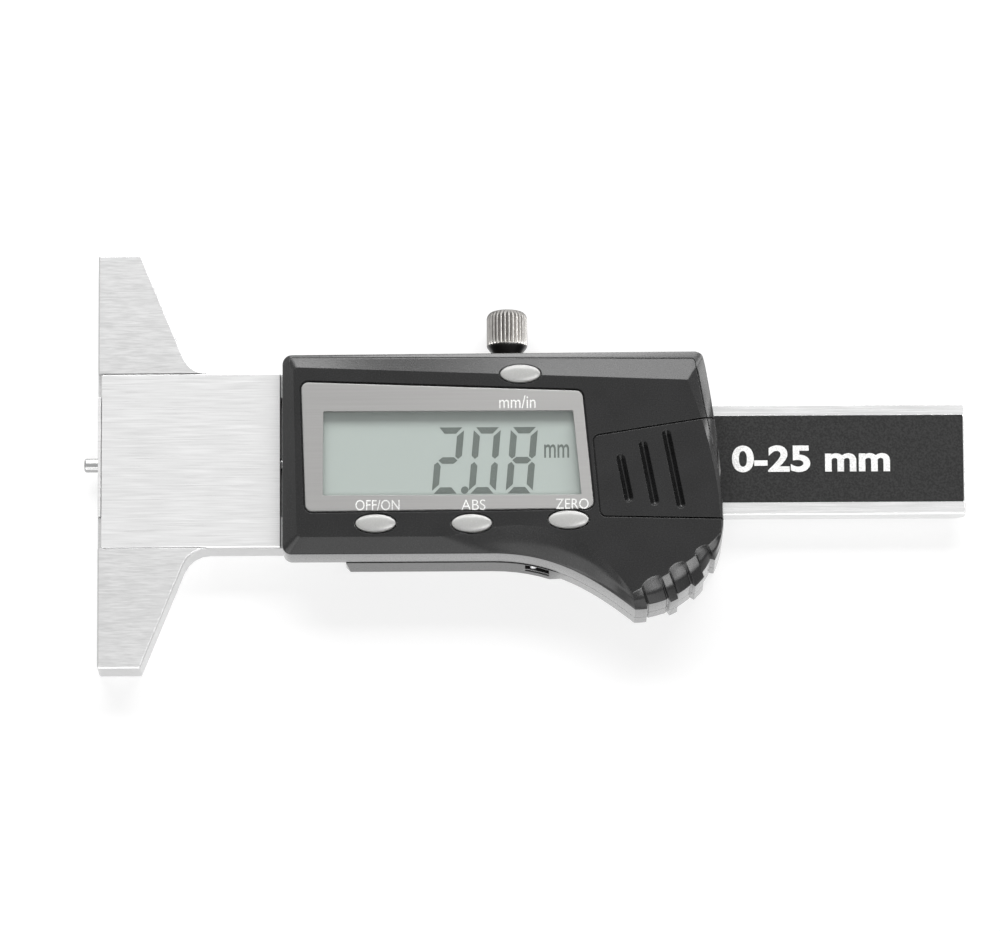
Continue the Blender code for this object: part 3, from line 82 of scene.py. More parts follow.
class Graph:
    """A material's node tree, built from expressions."""

    def __init__(self, name, tree=None):
        if tree is None:
            self.material = bpy.data.materials.new(name)
            self.material.use_nodes = True
            tree = self.material.node_tree
        self.tree = tree
        tree.nodes.clear()

    def node(self, kind, settings=None, values=None):
        """Node of a type, with its settings made first and then its sockets set or linked."""
        made = self.tree.nodes.new(kind)
        for name, value in (settings or {}).items():
            setattr(made, name, value)
        for name, value in (values or {}).items():
            self.feed(next(s for s in made.inputs if s.name == name and s.enabled), value)
        return made

    def feed(self, socket, value):
        """Link a term to a socket, or set the socket to a number or colour."""
        if isinstance(value, Term):
            self.tree.links.new(value.socket, socket)
        elif socket.type == "RGBA":
            socket.default_value = (*value[:3], 1)
        else:
            socket.default_value = value

    def out(self, made, name=0):
        """Term for one output of a node, by name or by place."""
        if isinstance(name, str):
            return Term(self, next(s for s in made.outputs if s.name == name and s.enabled))
        return Term(self, [s for s in made.outputs if s.enabled][name])

    def math(self, operation, a, b):
        """Math node on two numbers or terms."""
        made = self.node("ShaderNodeMath", {"operation": operation})
        self.feed(made.inputs[0], a)
        self.feed(made.inputs[1], b)
        return self.out(made)

    def mix(self, factor, a, b):
        """Colour between a and b."""
        return self.out(self.node("ShaderNodeMix", {"data_type": "RGBA"}, {"Factor": factor, "A": a, "B": b}))

    def place(self, scale=(1, 1, 1)):
        """Object coordinates in metres, scaled on each axis by a Mapping node."""
        coordinates = self.out(self.node("ShaderNodeTexCoord"), "Object")
        values = {"Vector": coordinates, "Scale": scale}
        return self.out(self.node("ShaderNodeMapping", {"vector_type": "POINT"}, values))

    def axes(self):
        """The three Object coordinates in metres."""
        made = self.node("ShaderNodeSeparateXYZ", None, {"Vector": self.place()})
        return [self.out(made, i) for i in range(3)]

    def noise(self, scale, detail=2.0, roughness=0.5):
        """Noise from 0 to 1, with its scale in cells per metre, for all axes or for each."""
        scale = scale if isinstance(scale, tuple) else (scale, scale, scale)
        made = self.node("ShaderNodeTexNoise", None, {
            "Vector": self.place(scale), "Scale": 1.0, "Detail": detail, "Roughness": roughness})
        return self.out(made, "Fac")

    def smooth(self, value, low, high):
        """Smooth step of a term from 0 at low to 1 at high."""
        made = self.node("ShaderNodeMapRange", {"interpolation_type": "SMOOTHSTEP"}, {
            "Value": value, "From Min": low, "From Max": high})
        return self.out(made)

    def bump(self, height, distance, edge=0.0):
        """Normal from a height between 0 and 1 that stands for a distance, with edges rounded, in metres."""
        values = {"Height": height, "Distance": distance, "Strength": 1.0}
        if edge:
            values["Normal"] = self.out(self.node("ShaderNodeBevel", {"samples": 6}, {"Radius": edge}))
        return self.out(self.node("ShaderNodeBump", None, values))

    def surface(self, values):
        """Material with a Principled shader of these values on its output."""
        self.output(self.out(self.node("ShaderNodeBsdfPrincipled", None, values)))
        return self.material

    def output(self, shader):
        """Link a shader to the output."""
        self.node("ShaderNodeOutputMaterial", None, {"Surface": shader})


# Places in metres where the colour changes: along Y the lock screw's rim and its shoulder, where shade is
# painted; along X the lens; and the display's upper edge and right end, where the frame's shadow is painted
rim_span, shoulder_shade_span, lens_span = (0.01700, 0.01716), (0.0207, 0.0216), (0.018, 0.062)
upper_shadow_span, end_shadow_span = (0.0022, 0.0062), (0.0545, 0.0592)


def shaded(colour, share):
    """Colour times a share, kept within 1."""
    return tuple(min(1.0, c * share) for c in colour)


def brushed_metal(name, colour, roughness, cell=120 * micron, length=60):
    """Ground or brushed metal with fine strokes along X, each one cell wide and length cells long."""
    g = Graph(name)
    strokes = g.noise((1 / (cell * length), 1 / cell, 1 / cell), 3.0, 0.6)
    cloud = g.noise(180.0, 3.0, 0.55)
    shade = g.smooth(strokes, 0.25, 0.75)
    return g.surface({
        "Base Color": g.mix(shade * 0.7 + cloud * 0.3, shaded(colour, 0.86), shaded(colour, 1.06)),
        "Metallic": 1.0,
        "Roughness": strokes * 0.14 + (roughness - 0.07),
        "Normal": g.bump(strokes, 0.6 * micron, 60 * micron),
    })


def plain_metal(name, colour, roughness):
    """Turned or plated metal with faint mottling."""
    g = Graph(name)
    mottle = g.noise(1 / (600 * micron), 3.0, 0.6)
    return g.surface({
        "Base Color": g.mix(mottle, shaded(colour, 0.88), shaded(colour, 1.05)),
        "Metallic": 1.0,
        "Roughness": mottle * 0.12 + (roughness - 0.06),
        "Normal": g.bump(mottle, 2 * micron, 50 * micron),
    })


def knurled_metal(name, colour, dark):
    """Nickel-plated rim with shade painted over its shoulder, and dark on the cone and neck below it."""
    g = Graph(name)
    mottle = g.noise(1500.0, 3.0, 0.6)
    along_axis = g.axes()[1]
    # Over the shoulder the rim's colour is painted shade, darker where it would mirror a bright lamp; the
    # roughness rises there too
    plated, shoulder = g.smooth(along_axis, *rim_span), g.smooth(along_axis, *shoulder_shade_span)
    rim = g.mix(mottle, shaded(colour, 0.72), shaded(colour, 1.2))
    return g.surface({
        "Base Color": g.mix(plated, dark, g.mix(shoulder, rim, shaded(colour, 0.35))),
        "Metallic": plated * 0.8 + 0.2,
        "Roughness": mottle * 0.12 + shoulder * 0.25 + 0.24,
        "Normal": g.bump(mottle, 3 * micron, 40 * micron),
    })


def moulded_plastic(name, colour, roughness, depth=4 * micron, edge=0.0, mottle=0.25, level=0.5, gloss=0.0):
    """Moulded plastic with a fine spark-eroded grain, and a thin gloss that brightens steep walls."""
    g = Graph(name)
    fine = g.noise(1 / (180 * micron), 2.0, 0.6)
    broad = g.noise(220.0)
    shade = g.smooth(fine * 0.75 + broad * 0.25, 0.3, 0.7)
    return g.surface({
        "Base Color": g.mix(shade, shaded(colour, 1 - mottle), shaded(colour, 1 + mottle)),
        "Roughness": fine * 0.12 + (roughness - 0.06),
        "Specular IOR Level": level,
        "Coat Weight": gloss,
        "Coat IOR": 1.3,
        "Coat Roughness": roughness,
        "Normal": g.bump(fine, depth, edge),
    })


def lens_print(name, colour):
    """Grey print behind the clear front: faint strokes along X and a slow change of shade across the lens."""
    g = Graph(name)
    strokes = g.noise((60.0, 5200.0, 60.0))
    across = g.smooth(g.axes()[0], *lens_span)
    return g.surface({
        "Base Color": g.mix(strokes * 0.5 + across * 0.5, shaded(colour, 0.84), shaded(colour, 1.10)),
        "Roughness": strokes * 0.06 + 0.20,
        "Normal": g.bump(strokes, 0.2 * micron, 100 * micron),
    })


def clear_pane(name):
    """Clear pane over the display, with a very faint haze."""
    g = Graph(name)
    haze = g.noise(300.0)
    return g.surface({"Base Color": (0.85, 0.88, 0.86), "Roughness": 0.10, "Alpha": haze * 0.02 + 0.02})


def liquid_crystal(name, colour):
    """Reflective display: grey-green, with the frame's shadow painted near its upper edge and right end."""
    g = Graph(name)
    x, y, _ = g.axes()
    upper, end = g.smooth(y, *upper_shadow_span), g.smooth(x, *end_shadow_span)
    grain = g.noise(4000.0)
    # Painted shadow of the frame, darkest at the display's upper edge and right end, with a faint grain
    shade = g.math("MAXIMUM", upper * 0.55, end * 0.45) + grain * 0.06
    base = g.mix(shade, colour, shaded(colour, 0.62))
    return g.surface({"Base Color": base, "Roughness": grain * 0.1 + 0.35})


def label_print(name, colour):
    """Dark label with a mottled print."""
    g = Graph(name)
    fine = g.noise(3600.0, 3.0, 0.7)
    return g.surface({
        "Base Color": g.mix(g.smooth(fine, 0.35, 0.65), shaded(colour, 0.55), shaded(colour, 1.5)),
        "Roughness": fine * 0.1 + 0.42,
        "Specular IOR Level": 0.14,
        "Normal": g.bump(fine, 2 * micron),
    })


def cubic(a, b, c, d, count):
    """Cubic curve from a up to but not at d, in even steps."""
    return cubic_at(a, b, c, d, np.arange(count) / count)


def cubic_at(a, b, c, d, t):
    """Cubic curve at parameters t: (1-t)^3 a + 3(1-t)^2 t b + 3(1-t) t^2 c + t^3 d."""
    t = np.asarray(t)[:, None]
    a, b, c, d = (np.asarray(p, float) for p in (a, b, c, d))
    return (1 - t) ** 3 * a + 3 * (1 - t) ** 2 * t * b + 3 * (1 - t) * t ** 2 * c + t ** 3 * d


def corner_arc(before, corner, after, radius, count):
    """Arc in a corner: its two radii at the tangent points are blended by sines of the turn."""
    before, corner, after = (np.asarray(p, float) for p in (before, corner, after))
    back, ahead = before - corner, after - corner
    back, ahead = back / np.hypot(*back), ahead / np.hypot(*ahead)
    half = math.acos(np.clip(back @ ahead, -1, 1)) / 2
    bisector = (back + ahead) / np.hypot(*(back + ahead))
    centre = corner + bisector * radius / math.sin(half)
    reach = radius / math.tan(half)
    u, v = corner + back * reach - centre, corner + ahead * reach - centre
    turn = math.pi - 2 * half
    t = np.linspace(0, 1, count)[:, None]
    return centre + (np.sin((1 - t) * turn) * u + np.sin(t * turn) * v) / math.sin(turn)


def soft_polygon(corners, radii, count=9):
    """Polygon with an arc in each corner; a corner with radius 0 stays sharp."""
    parts = []
    for i, corner in enumerate(corners):
        if radii[i] == 0:
            parts.append(np.array([corner], float))
        else:
            after = corners[(i + 1) % len(corners)]
            parts.append(corner_arc(corners[i - 1], corner, after, radii[i], count))
    return np.vstack(parts)


def grown(outline, distance):
    """Outline moved outwards: each point goes along the mean of its two edge normals over 1 + their dot."""
    back = outline - np.roll(outline, 1, axis=0)
    ahead = np.roll(back, -1, axis=0)
    back, ahead = (e / np.linalg.norm(e, axis=1, keepdims=True) for e in (back, ahead))
    normals = np.stack([back[:, 1] + ahead[:, 1], -back[:, 0] - ahead[:, 0]], axis=1)
    return outline + normals * distance / (1 + np.sum(back * ahead, axis=1, keepdims=True))


def at_level(outline, z):
    """Flat outline lifted to a height."""
    return np.column_stack([outline, np.full(len(outline), z)])


def rounded_profile(rings, radii):
    """Rings with soft edges: near each one the profile is a parabola between points a radius to its sides."""
    steps, least, most = 4, 1e-6, 0.48
    out = [rings[0]]
    t = np.linspace(0, 1, steps)[:, None, None]
    for before, ring, after, radius in zip(rings, rings[1:], rings[2:], radii):
        if np.max(radius) == 0:
            out.append(ring)
            continue
        ends = []
        for beside in (before, after):
            away = np.maximum(np.linalg.norm(beside - ring, axis=1, keepdims=True), least)
            ends.append(ring + (beside - ring) * np.minimum(radius / away, most))
        out.extend((1 - t) ** 2 * ends[0] + 2 * t * (1 - t) * ring + t ** 2 * ends[1])
    out.append(rings[-1])
    return np.array(out)


def new_piece(name, points, faces, body, slot, material, replaces=(), sharp=crease_angle):
    """Mesh piece from points in millimetres, welded, faced outwards and shaded smooth up to an angle."""
    mesh = bpy.data.meshes.new(name)
    mesh.from_pydata((np.asarray(points, float) * mm).tolist(), [], faces)
    weld(mesh)
    made = bpy.data.objects.new(name, mesh)
    bpy.context.scene.collection.objects.link(made)
    mesh.materials.append(material)
    soften(mesh, sharp)
    if body:
        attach(made, body)
    if replaces:
        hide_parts(*replaces)
    return made


def weld(mesh):
    """Merge doubled points and turn all faces outwards."""
    bm = bmesh.new()
    bm.from_mesh(mesh)
    bmesh.ops.remove_doubles(bm, verts=bm.verts, dist=1e-7)
    bmesh.ops.dissolve_degenerate(bm, edges=bm.edges, dist=1e-8)
    bmesh.ops.recalc_face_normals(bm, faces=bm.faces)
    bm.to_mesh(mesh)
    bm.free()


def soften(mesh, sharp):
    """Smooth shading with edges over an angle left sharp, and with broad or level faces kept out of it."""
    mesh.polygons.foreach_set("use_smooth", np.ones(len(mesh.polygons), bool))
    mesh.set_sharp_from_angle(angle=math.radians(sharp))
    area, corners = np.empty(len(mesh.polygons)), np.empty(len(mesh.polygons), int)
    normal = np.empty(len(mesh.polygons) * 3)
    edge, hard = np.empty(len(mesh.loops), int), np.empty(len(mesh.edges), bool)
    mesh.polygons.foreach_get("area", area)
    mesh.polygons.foreach_get("loop_total", corners)
    mesh.polygons.foreach_get("normal", normal)
    mesh.loops.foreach_get("edge_index", edge)
    mesh.edges.foreach_get("use_edge_sharp", hard)
    level = (np.abs(normal[2::3]) > 0.99999) & (area > level_area)
    hard[edge[np.repeat((area > broad_area) | level, corners)]] = True
    mesh.edges.foreach_set("use_edge_sharp", hard)


def ring_faces(rows, columns):
    """Quads of a grid of closed rings, with a polygon on the first and on the last ring."""
    row, column = np.meshgrid(np.arange(rows - 1), np.arange(columns), indexing="ij")
    after = (column + 1) % columns
    quads = np.stack([row * columns + column, row * columns + after,
                      (row + 1) * columns + after, (row + 1) * columns + column], axis=-1)
    faces = quads.reshape(-1, 4).tolist()
    faces.append(np.arange(columns)[::-1].tolist())
    faces.append((np.arange(columns) + (rows - 1) * columns).tolist())
    return faces


def lofted(rings):
    """Points and faces of a solid through closed rings, from the lowest to the highest."""
    rings = np.asarray(rings, float)
    return rings.reshape(-1, 3), ring_faces(len(rings), rings.shape[1])


def slab(outline, bottom, top, edge=0.0, count=4):
    """Upright solid on an outline, with a quarter circle along its top edge.

    At angle a that edge lies edge (1 - cos a) inside the outline and edge (1 - sin a) below the top.
    """
    if edge == 0:
        return lofted([at_level(outline, bottom), at_level(outline, top)])
    rings = [at_level(outline, bottom)]
    for a in np.linspace(0, math.pi / 2, count):
        rings.append(at_level(grown(outline, -edge * (1 - math.cos(a))), top - edge * (1 - math.sin(a))))
    return lofted(rings)


def turned(profile, steps, ripple=None):
    """Solid of revolution: (r cos a, r sin a, h) for each (r, h) of a profile, with r changed by a ripple."""
    profile = np.asarray(profile, float)
    angle = np.arange(steps) * 2 * math.pi / steps
    radius = np.repeat(profile[:, :1], steps, axis=1)
    height = np.repeat(profile[:, 1:], steps, axis=1)
    if ripple is not None:
        radius = ripple(angle[None, :], radius, height)
    rings = np.stack([radius * np.cos(angle), radius * np.sin(angle), height], axis=-1)
    return lofted(rings)


def laid(shape, at, axis="Z"):
    """Solid moved to a place, with its own Z turned to lie along Z or Y of the tool."""
    points, faces = shape
    order = {"Z": [0, 1, 2], "Y": [1, 2, 0]}[axis]
    return points[:, order] + np.asarray(at, float), faces


def box(x0, x1, y0, y1, z0, z1):
    """Rectangular cutter between two corners."""
    return slab(np.array([(x0, y0), (x1, y0), (x1, y1), (x0, y1)], float), z0, z1)


def ellipse(length, width, at=(0, 0), count=72):
    """Ellipse: (a cos t, b sin t) about a place."""
    t = np.arange(count) * 2 * math.pi / count
    return np.stack([at[0] + length / 2 * np.cos(t), at[1] + width / 2 * np.sin(t)], axis=1)


def shape_of(mesh):
    """Points and faces of a mesh."""
    points = np.empty(len(mesh.vertices) * 3)
    mesh.vertices.foreach_get("co", points)
    return points.reshape(-1, 3), [list(face.vertices) for face in mesh.polygons]


def removed(piece):
    """Delete a helper piece with its mesh."""
    mesh = piece.data
    bpy.data.objects.remove(piece)
    bpy.data.meshes.remove(mesh)


def taken(piece):
    """Points in millimetres and faces of a helper piece, which is removed."""
    points, faces = shape_of(piece.data)
    removed(piece)
    return points / mm, faces


def carved(piece, steps):
    """Change a piece by exact Booleans, given as pairs of an operation and a cutter's shape."""
    cutters = []
    for operation, shape in steps:
        cutter = new_piece("cutter", *shape, None, None, piece.data.materials[0])
        cutters.append(cutter)
        boolean = piece.modifiers.new(operation, "BOOLEAN")
        boolean.operation = operation
        boolean.solver = "EXACT"
        boolean.object = cutter
    graph = bpy.context.evaluated_depsgraph_get()
    mesh = bpy.data.meshes.new_from_object(piece.evaluated_get(graph))
    if len(mesh.polygons) == 0:
        raise RuntimeError(f"nothing is left of {piece.name}")
    piece.modifiers.clear()
    old, name = piece.data, piece.data.name
    piece.data = mesh
    bpy.data.meshes.remove(old)
    mesh.name = name
    for cutter in cutters:
        removed(cutter)
    soften(mesh, crease_angle)


def smoothed_copy(node, material):
    """Copy of a CAD node with its triangles joined, so that its curves can be shaded smooth."""
    mesh = frame["nodes"][node].data.copy()
    mesh.name = f"{node}_fine"
    if "custom_normal" in mesh.attributes:
        mesh.attributes.remove(mesh.attributes["custom_normal"])
    weld(mesh)
    copy = bpy.data.objects.new(f"{node}_fine", mesh)
    bpy.context.scene.collection.objects.link(copy)
    mesh.materials.clear()
    mesh.materials.append(material)
    soften(mesh, crease_angle)
    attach(copy, body_of(node))
    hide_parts(node)
    return copy


def body_of(node):
    """Body that a CAD node rides on."""
    groups = frame["record"]["behaviour"]["bodies"]
    return next(body for body, nodes in groups.items() if node in nodes)


# Sizes of the housing in millimetres from the tool's origin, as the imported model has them
house_start, house_end, house_low, house_high = 16.35, 78.85, 14.45, 14.35
house_bottom, wall_top, face_z = 4.3, 10.25, 12.25
wall_radius, face_radius = 1.3, 0.65
grip_centre, grip_radius = np.array([66.2, -10.0]), 12.65
cell = np.array([69.2, -3.4])

# Grip: its hollows in degrees of its quarter turn, how deep they and their creases are, and how far and how
# steeply their round ends run onto the face
grip_hollows = ((8.2, 23.2), (29.2, 42.0), (51.2, 63.6))
hollow_depth, crease_depth, arch_reach, arch_slope = 0.6, 0.10, 0.7, 0.36

# Points on each kind of stretch of the housing's outlines
corner_points, sweep_points, grip_points, side_points, run_points = 9, 48, 360, 28, 12

# Shares of the bevel's width and height: in and up of its first ring, in and up of its second, then the lift
# of the wall's top and the depth of the crease in millimetres
flat_bevel = (0.06, 0.10, 0.50, 0.52, 0, 0)
scooped_bevel = (0.10, 0.20, 0.48, 0.70, 0, 0)
rolled_bevel = (0.08, 0.14, 0.50, 0.76, 0, 0)
rim_bevel = (0.03, 0.05, 0.44, 0.68, 1.00, 0.09)
right_bevel = (0.02, 0.04, 0.24, 0.41, 0.40, 0.09)
left_bevel = (0.02, 0.06, 0.20, 0.30, 0.40, 0.09)
side_places = (0, 0.3, 0.5, 0.8, 1)
side_bevels = (
    (0.08, 0.14, 0.25, 0.80, 0, 0), (0.06, 0.10, 0.35, 0.70, 0.2, 0),
    (0.04, 0.07, 0.60, 0.56, 0.7, 0.07), (0.03, 0.05, 0.60, 0.68, 1.1, 0.09), rim_bevel)


def smooth_step(value, low, high):
    """3 t^2 - 2 t^3 with t from 0 at low to 1 at high."""
    t = np.clip((value - low) / (high - low), 0, 1)
    return t * t * (3 - 2 * t)


def grip_hollow(turn):
    """1 in the grip's hollows and 0 on the lands beside them, with steep sides, from an angle in degrees."""
    steep = 0.4
    return np.sum([smooth_step(turn, a - steep, a + steep) * smooth_step(turn, b + steep, b - steep)
                   for a, b in grip_hollows], axis=0)


def grip_creases(turn):
    """1 in the narrow creases just inside the hollows' sides: exp(-((turn - side) / 0.4)^2)."""
    sides = [side for a, b in grip_hollows for side in (a + 0.8, b - 0.8)]
    return np.sum([np.exp(-((turn - side) / 0.4) ** 2) for side in sides], axis=0)


def grip_arches(turn):
    """Reach in millimetres of the hollows' round ends onto the face: reach * sqrt(1 - x^2) across each."""
    across = [(2 * turn - a - b) / (b - a + 0.4) for a, b in grip_hollows]
    return np.sum([arch_reach * np.sqrt(np.clip(1 - x * x, 0, None)) for x in across], axis=0)


def straight(a, b):
    """Points between a and b, both left out."""
    t = np.arange(1, run_points + 1)[:, None] / (run_points + 1)
    return (1 - t) * np.asarray(a, float) + t * np.asarray(b, float)


def wall_plan():
    """Stretches of the walls' outline: lower left corner, run, sweep, grip, side, corner, run, corner."""
    start, end = np.array([46.1, -house_low]), np.array([66.2, -house_low - 8.2])
    across, down = end - start
    middle, low_left, high_left = (house_start, 0), (house_start, -house_low), (house_start, house_high)
    side_top = np.array([house_end - 2.9, house_high + 0.25])
    p1, p2 = (78.763, -2.62), (77.69, 5.252)
    low_arc = corner_arc(middle, low_left, start, wall_radius, corner_points)
    sweep = cubic(start, start + (0.43 * across, 0), start + (0.71 * across, 0.43 * down), end, sweep_points)
    turn = np.linspace(0, 90, grip_points)
    radius = grip_radius - hollow_depth * grip_hollow(turn) - crease_depth * grip_creases(turn)
    angle = np.radians(turn - 90)
    grip = grip_centre + np.stack([radius * np.cos(angle), radius * np.sin(angle)], axis=1)
    side = cubic((house_end, -10), p1, p2, (76.256, 13.3), side_points)[1:]
    right_arc = corner_arc(p2, side_top, high_left, wall_radius, corner_points)
    left_arc = corner_arc(side_top, high_left, middle, wall_radius, corner_points)
    return [low_arc, straight(low_arc[-1], start), sweep, grip, side, right_arc,
            straight(right_arc[-1], left_arc[0]), left_arc]


def face_plan():
    """Stretches of the face's outline, point for point with those of the walls."""
    start, end, finish = np.array([40.1, -12.35]), np.array([65.82, -20.626]), np.array([78.43, -12.024])
    low_left, high_left = (18.45, -12.35), (17.95, 12.25)
    high_middle, high_right = (45.9, 11.2), (73.85, 10.15)
    across, ahead = end[0] - start[0], finish - end
    low_arc = corner_arc(high_left, low_left, start, face_radius, corner_points)
    sweep = cubic(start, start + (0.51 * across, 3.64), start + (0.76 * across, 0.83), end, sweep_points)
    t = 1 - (1 - np.linspace(0, 1, grip_points)) ** 1.65
    grip = cubic_at(end, end + ahead * (0.22, 0.20), end + ahead * (0.62, 0.42), finish, t)
    q1, q2 = (78.43, -5.5), (77.3, 1.0)
    side = cubic(finish, q1, q2, high_right, side_points)[1:]
    right_arc = corner_arc(q2, high_right, high_middle, 0.33, corner_points)
    left_arc = corner_arc(high_middle, high_left, low_left, face_radius, corner_points)
    return [low_arc, straight(low_arc[-1], start), sweep, grip, side, right_arc,
            straight(right_arc[-1], left_arc[0]), left_arc]


def grip_part(stretches):
    """Slice of the outline's points that lie on the grip."""
    first = sum(len(part) for part in stretches[:3])
    return slice(first, first + len(stretches[3]))


def keyed(places, rows, count):
    """Rows of values between key rows that stand at places from 0 to 1."""
    t = np.linspace(0, 1, count)
    return np.stack([np.interp(t, places, column) for column in np.transpose(rows)], axis=1)


def between(before, after, blend):
    """Values from before at blend 0 to after at blend 1, one row for each blend."""
    blend = np.asarray(blend)[:, None]
    return (1 - blend) * np.asarray(before, float) + blend * np.asarray(after, float)


def bevel_shares(stretches):
    """Rows of shares round the whole outline."""
    ends = (
        (flat_bevel, flat_bevel), (flat_bevel, flat_bevel), (flat_bevel, scooped_bevel),
        (rolled_bevel, rolled_bevel), None, (rim_bevel, right_bevel), (right_bevel, left_bevel),
        (left_bevel, flat_bevel))
    rows = []
    for part, pair in zip(stretches, ends):
        if pair is None:
            rows.append(keyed(side_places, side_bevels, len(part)))
        else:
            rows.append(between(*pair, smooth_step(np.linspace(0, 1, len(part)), 0, 1)))
    shares = np.vstack(rows)
    grip = grip_part(stretches)
    turn = np.linspace(0, 90, grip_points)
    shares[grip] = between(scooped_bevel, shares[grip], smooth_step(turn, 0, 9))
    shares[grip] = between(shares[grip], side_bevels[0], smooth_step(turn, 60, 72))
    return shares


def housing_rings():
    """Rings of the housing's outside, from the wall's foot over two rings of the bevel to the face.

    The bevel's rings lie at shares of its width and height. A fine crease runs inside the rim at the top and
    at the right, and the grip's hollows run out on the face with round ends.
    """
    stretches = wall_plan()
    wall, face = np.vstack(stretches), np.vstack(face_plan())
    shares, grip = bevel_shares(stretches), grip_part(stretches)
    turn = np.linspace(0, 90, grip_points)
    hollow, crease, arch = (np.zeros((len(wall), 1)) for _ in range(3))
    hollow[grip, 0], crease[grip, 0], arch[grip, 0] = grip_hollow(turn), grip_creases(turn), grip_arches(turn)
    shares[:, 1:2] -= 0.03 * hollow + 0.02 * crease
    shares[:, 3:4] -= 0.12 * hollow + 0.05 * crease
    top = wall_top + shares[:, 4:5]
    rings = [at_level(wall, house_bottom), np.hstack([wall, top])]
    for k in (0, 2):
        height = top + shares[:, k + 1:k + 2] * (face_z - top)
        rings.append(np.hstack([wall + shares[:, k:k + 1] * (face - wall), height]))
    up = np.array([0, 0, 1.0])
    edge = at_level(face, face_z)
    sunk = edge - up * (arch_slope * arch + 0.04 * crease)
    reach = np.linalg.norm(edge - rings[3], axis=1, keepdims=True)
    creased = smooth_step(shares[:, 5:6], 0.0, 0.05)
    # Share of the way to the face, or millimetres where there is a crease, and share of the crease's depth
    for share, step, depth in ((0.35, 0.11, 1.0), (0.5, 0.22, 0.0), (0.65, 0.32, 0.0)):
        at = (1 - creased) * share + creased * step / reach
        rings.append(rings[3] + at * (sunk - rings[3]) - up * depth * shares[:, 5:6])
    rings.append(sunk)
    inward = np.zeros_like(edge)
    to_centre = grip_centre - face[grip]
    inward[grip, :2] = to_centre / np.linalg.norm(to_centre, axis=1, keepdims=True)
    for step in np.arange(1, 9) * 0.09:
        rings.append(edge + inward * step - up * arch_slope * np.clip(arch - step, 0, None))
    # Rounding in millimetres at each ring after the first: foot of the bevel, its two rings, and the rim
    radii = (0.08, 0.08, 0.5 - 0.34 * creased, 0, 0, 0, 0.14) + (0,) * 7
    return rounded_profile(rings, radii)


def lens_plan(grow=0.0):
    """Four-sided lens outline with soft corners."""
    outline = soft_polygon([(19.65, -8.64), (60.5, -8.35), (58.9, 8.65), (19.05, 10.1)], (1.0,) * 4)
    return grown(outline, grow) if grow else outline


def window_plan(grow=0.0):
    """Clear window in the lens: its right side leans as the lens does."""
    outline = soft_polygon([(22.12, -6.36), (58.72, -6.42), (57.6, 5.80), (22.2, 5.84)], (0.15,) * 4, 4)
    return grown(outline, grow) if grow else outline


# Battery door in millimetres: its left side, how far it runs past the shell, and where it turns down
door_start, door_end, lip_start = 60.4, house_end + 2, 75.6
door_length = 18.45


def door_edges(x):
    """Lower and upper edge of the battery door at a place along X."""
    run = (x - door_start) / door_length
    return -9.5 - 0.4 * run, 2.1 + 2.9 * run


def door_plan(gap):
    """Battery door from the front, grown by a gap; it runs past the housing's side."""
    corners = [(61.4, door_edges(61.4)[0]), *((door_end, y) for y in door_edges(door_end)), (door_start, 2.1)]
    return grown(soft_polygon(corners, (0.9, 0, 0, 0.9)), gap)


def lip_plan(gap):
    """The part of the door that turns down over the housing's side."""
    low, high = door_edges(lip_start)
    corners = [(lip_start, low), *((door_end, y) for y in door_edges(door_end)), (lip_start, high)]
    return grown(np.array(corners), gap - 0.05)


# Start and two sides of each of the door's rails, and the buttons' middles, in millimetres
rails = ((63.4, 2.6, 3.25), (62.4, -9.8, -9.35))
buttons = {
    "button_unit": (50.1625, 11.15), "button_power": (29.56875, -10.40),
    "button_abs": (43.16875, -10.45), "button_zero": (56.87, -10.0)}

# Levels in millimetres: foot and roof of the shell's hollow, floors of its openings, a level above the face,
# and the levels of the display's layers
hollow_foot, hollow_roof, window_floor, lens_floor, door_floor, clear_z = 3.3, 10.85, 9.8, 11.35, 11.3, 13.3
lens_levels, pane_levels = (11.4, 12.24), (11.5, 12.2)
ink_levels, legend_levels = (10.805, 10.83), (12.236, 12.255)
lock_x, lock_z = 48.3, 3.25


# Radii in millimetres of the shell's bosses, holes and cup for the cell, and of the lock screw's bore
boss_radius, hole_radius, cup_radius, cell_room, lock_bore = 1.7, 0.86, 6.85, 5.95, 2.05

# Thumb grooves in millimetres and radians: width, lean, and places and reaches as shares of the door
groove_width, groove_lean = 1.30, 0.19
groove_places = ((0.215, 0.47, 0.61), (0.400, 0.53, 0.82), (0.590, 0.58, 1.0))


def screw_place(node):
    """Middle of a screw's head in plan, in millimetres."""
    low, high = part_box(node)
    return np.array([low[0] + high[0], low[1] + high[1]]) / 2 / mm


def rod(radius, bottom, top, at, axis="Z", steps=48):
    """Round cutter along an axis from a place."""
    profile = [(0, bottom), (radius, bottom), (radius, top), (0, top)]
    return laid(turned(profile, steps), (*at, 0)[:3], axis)


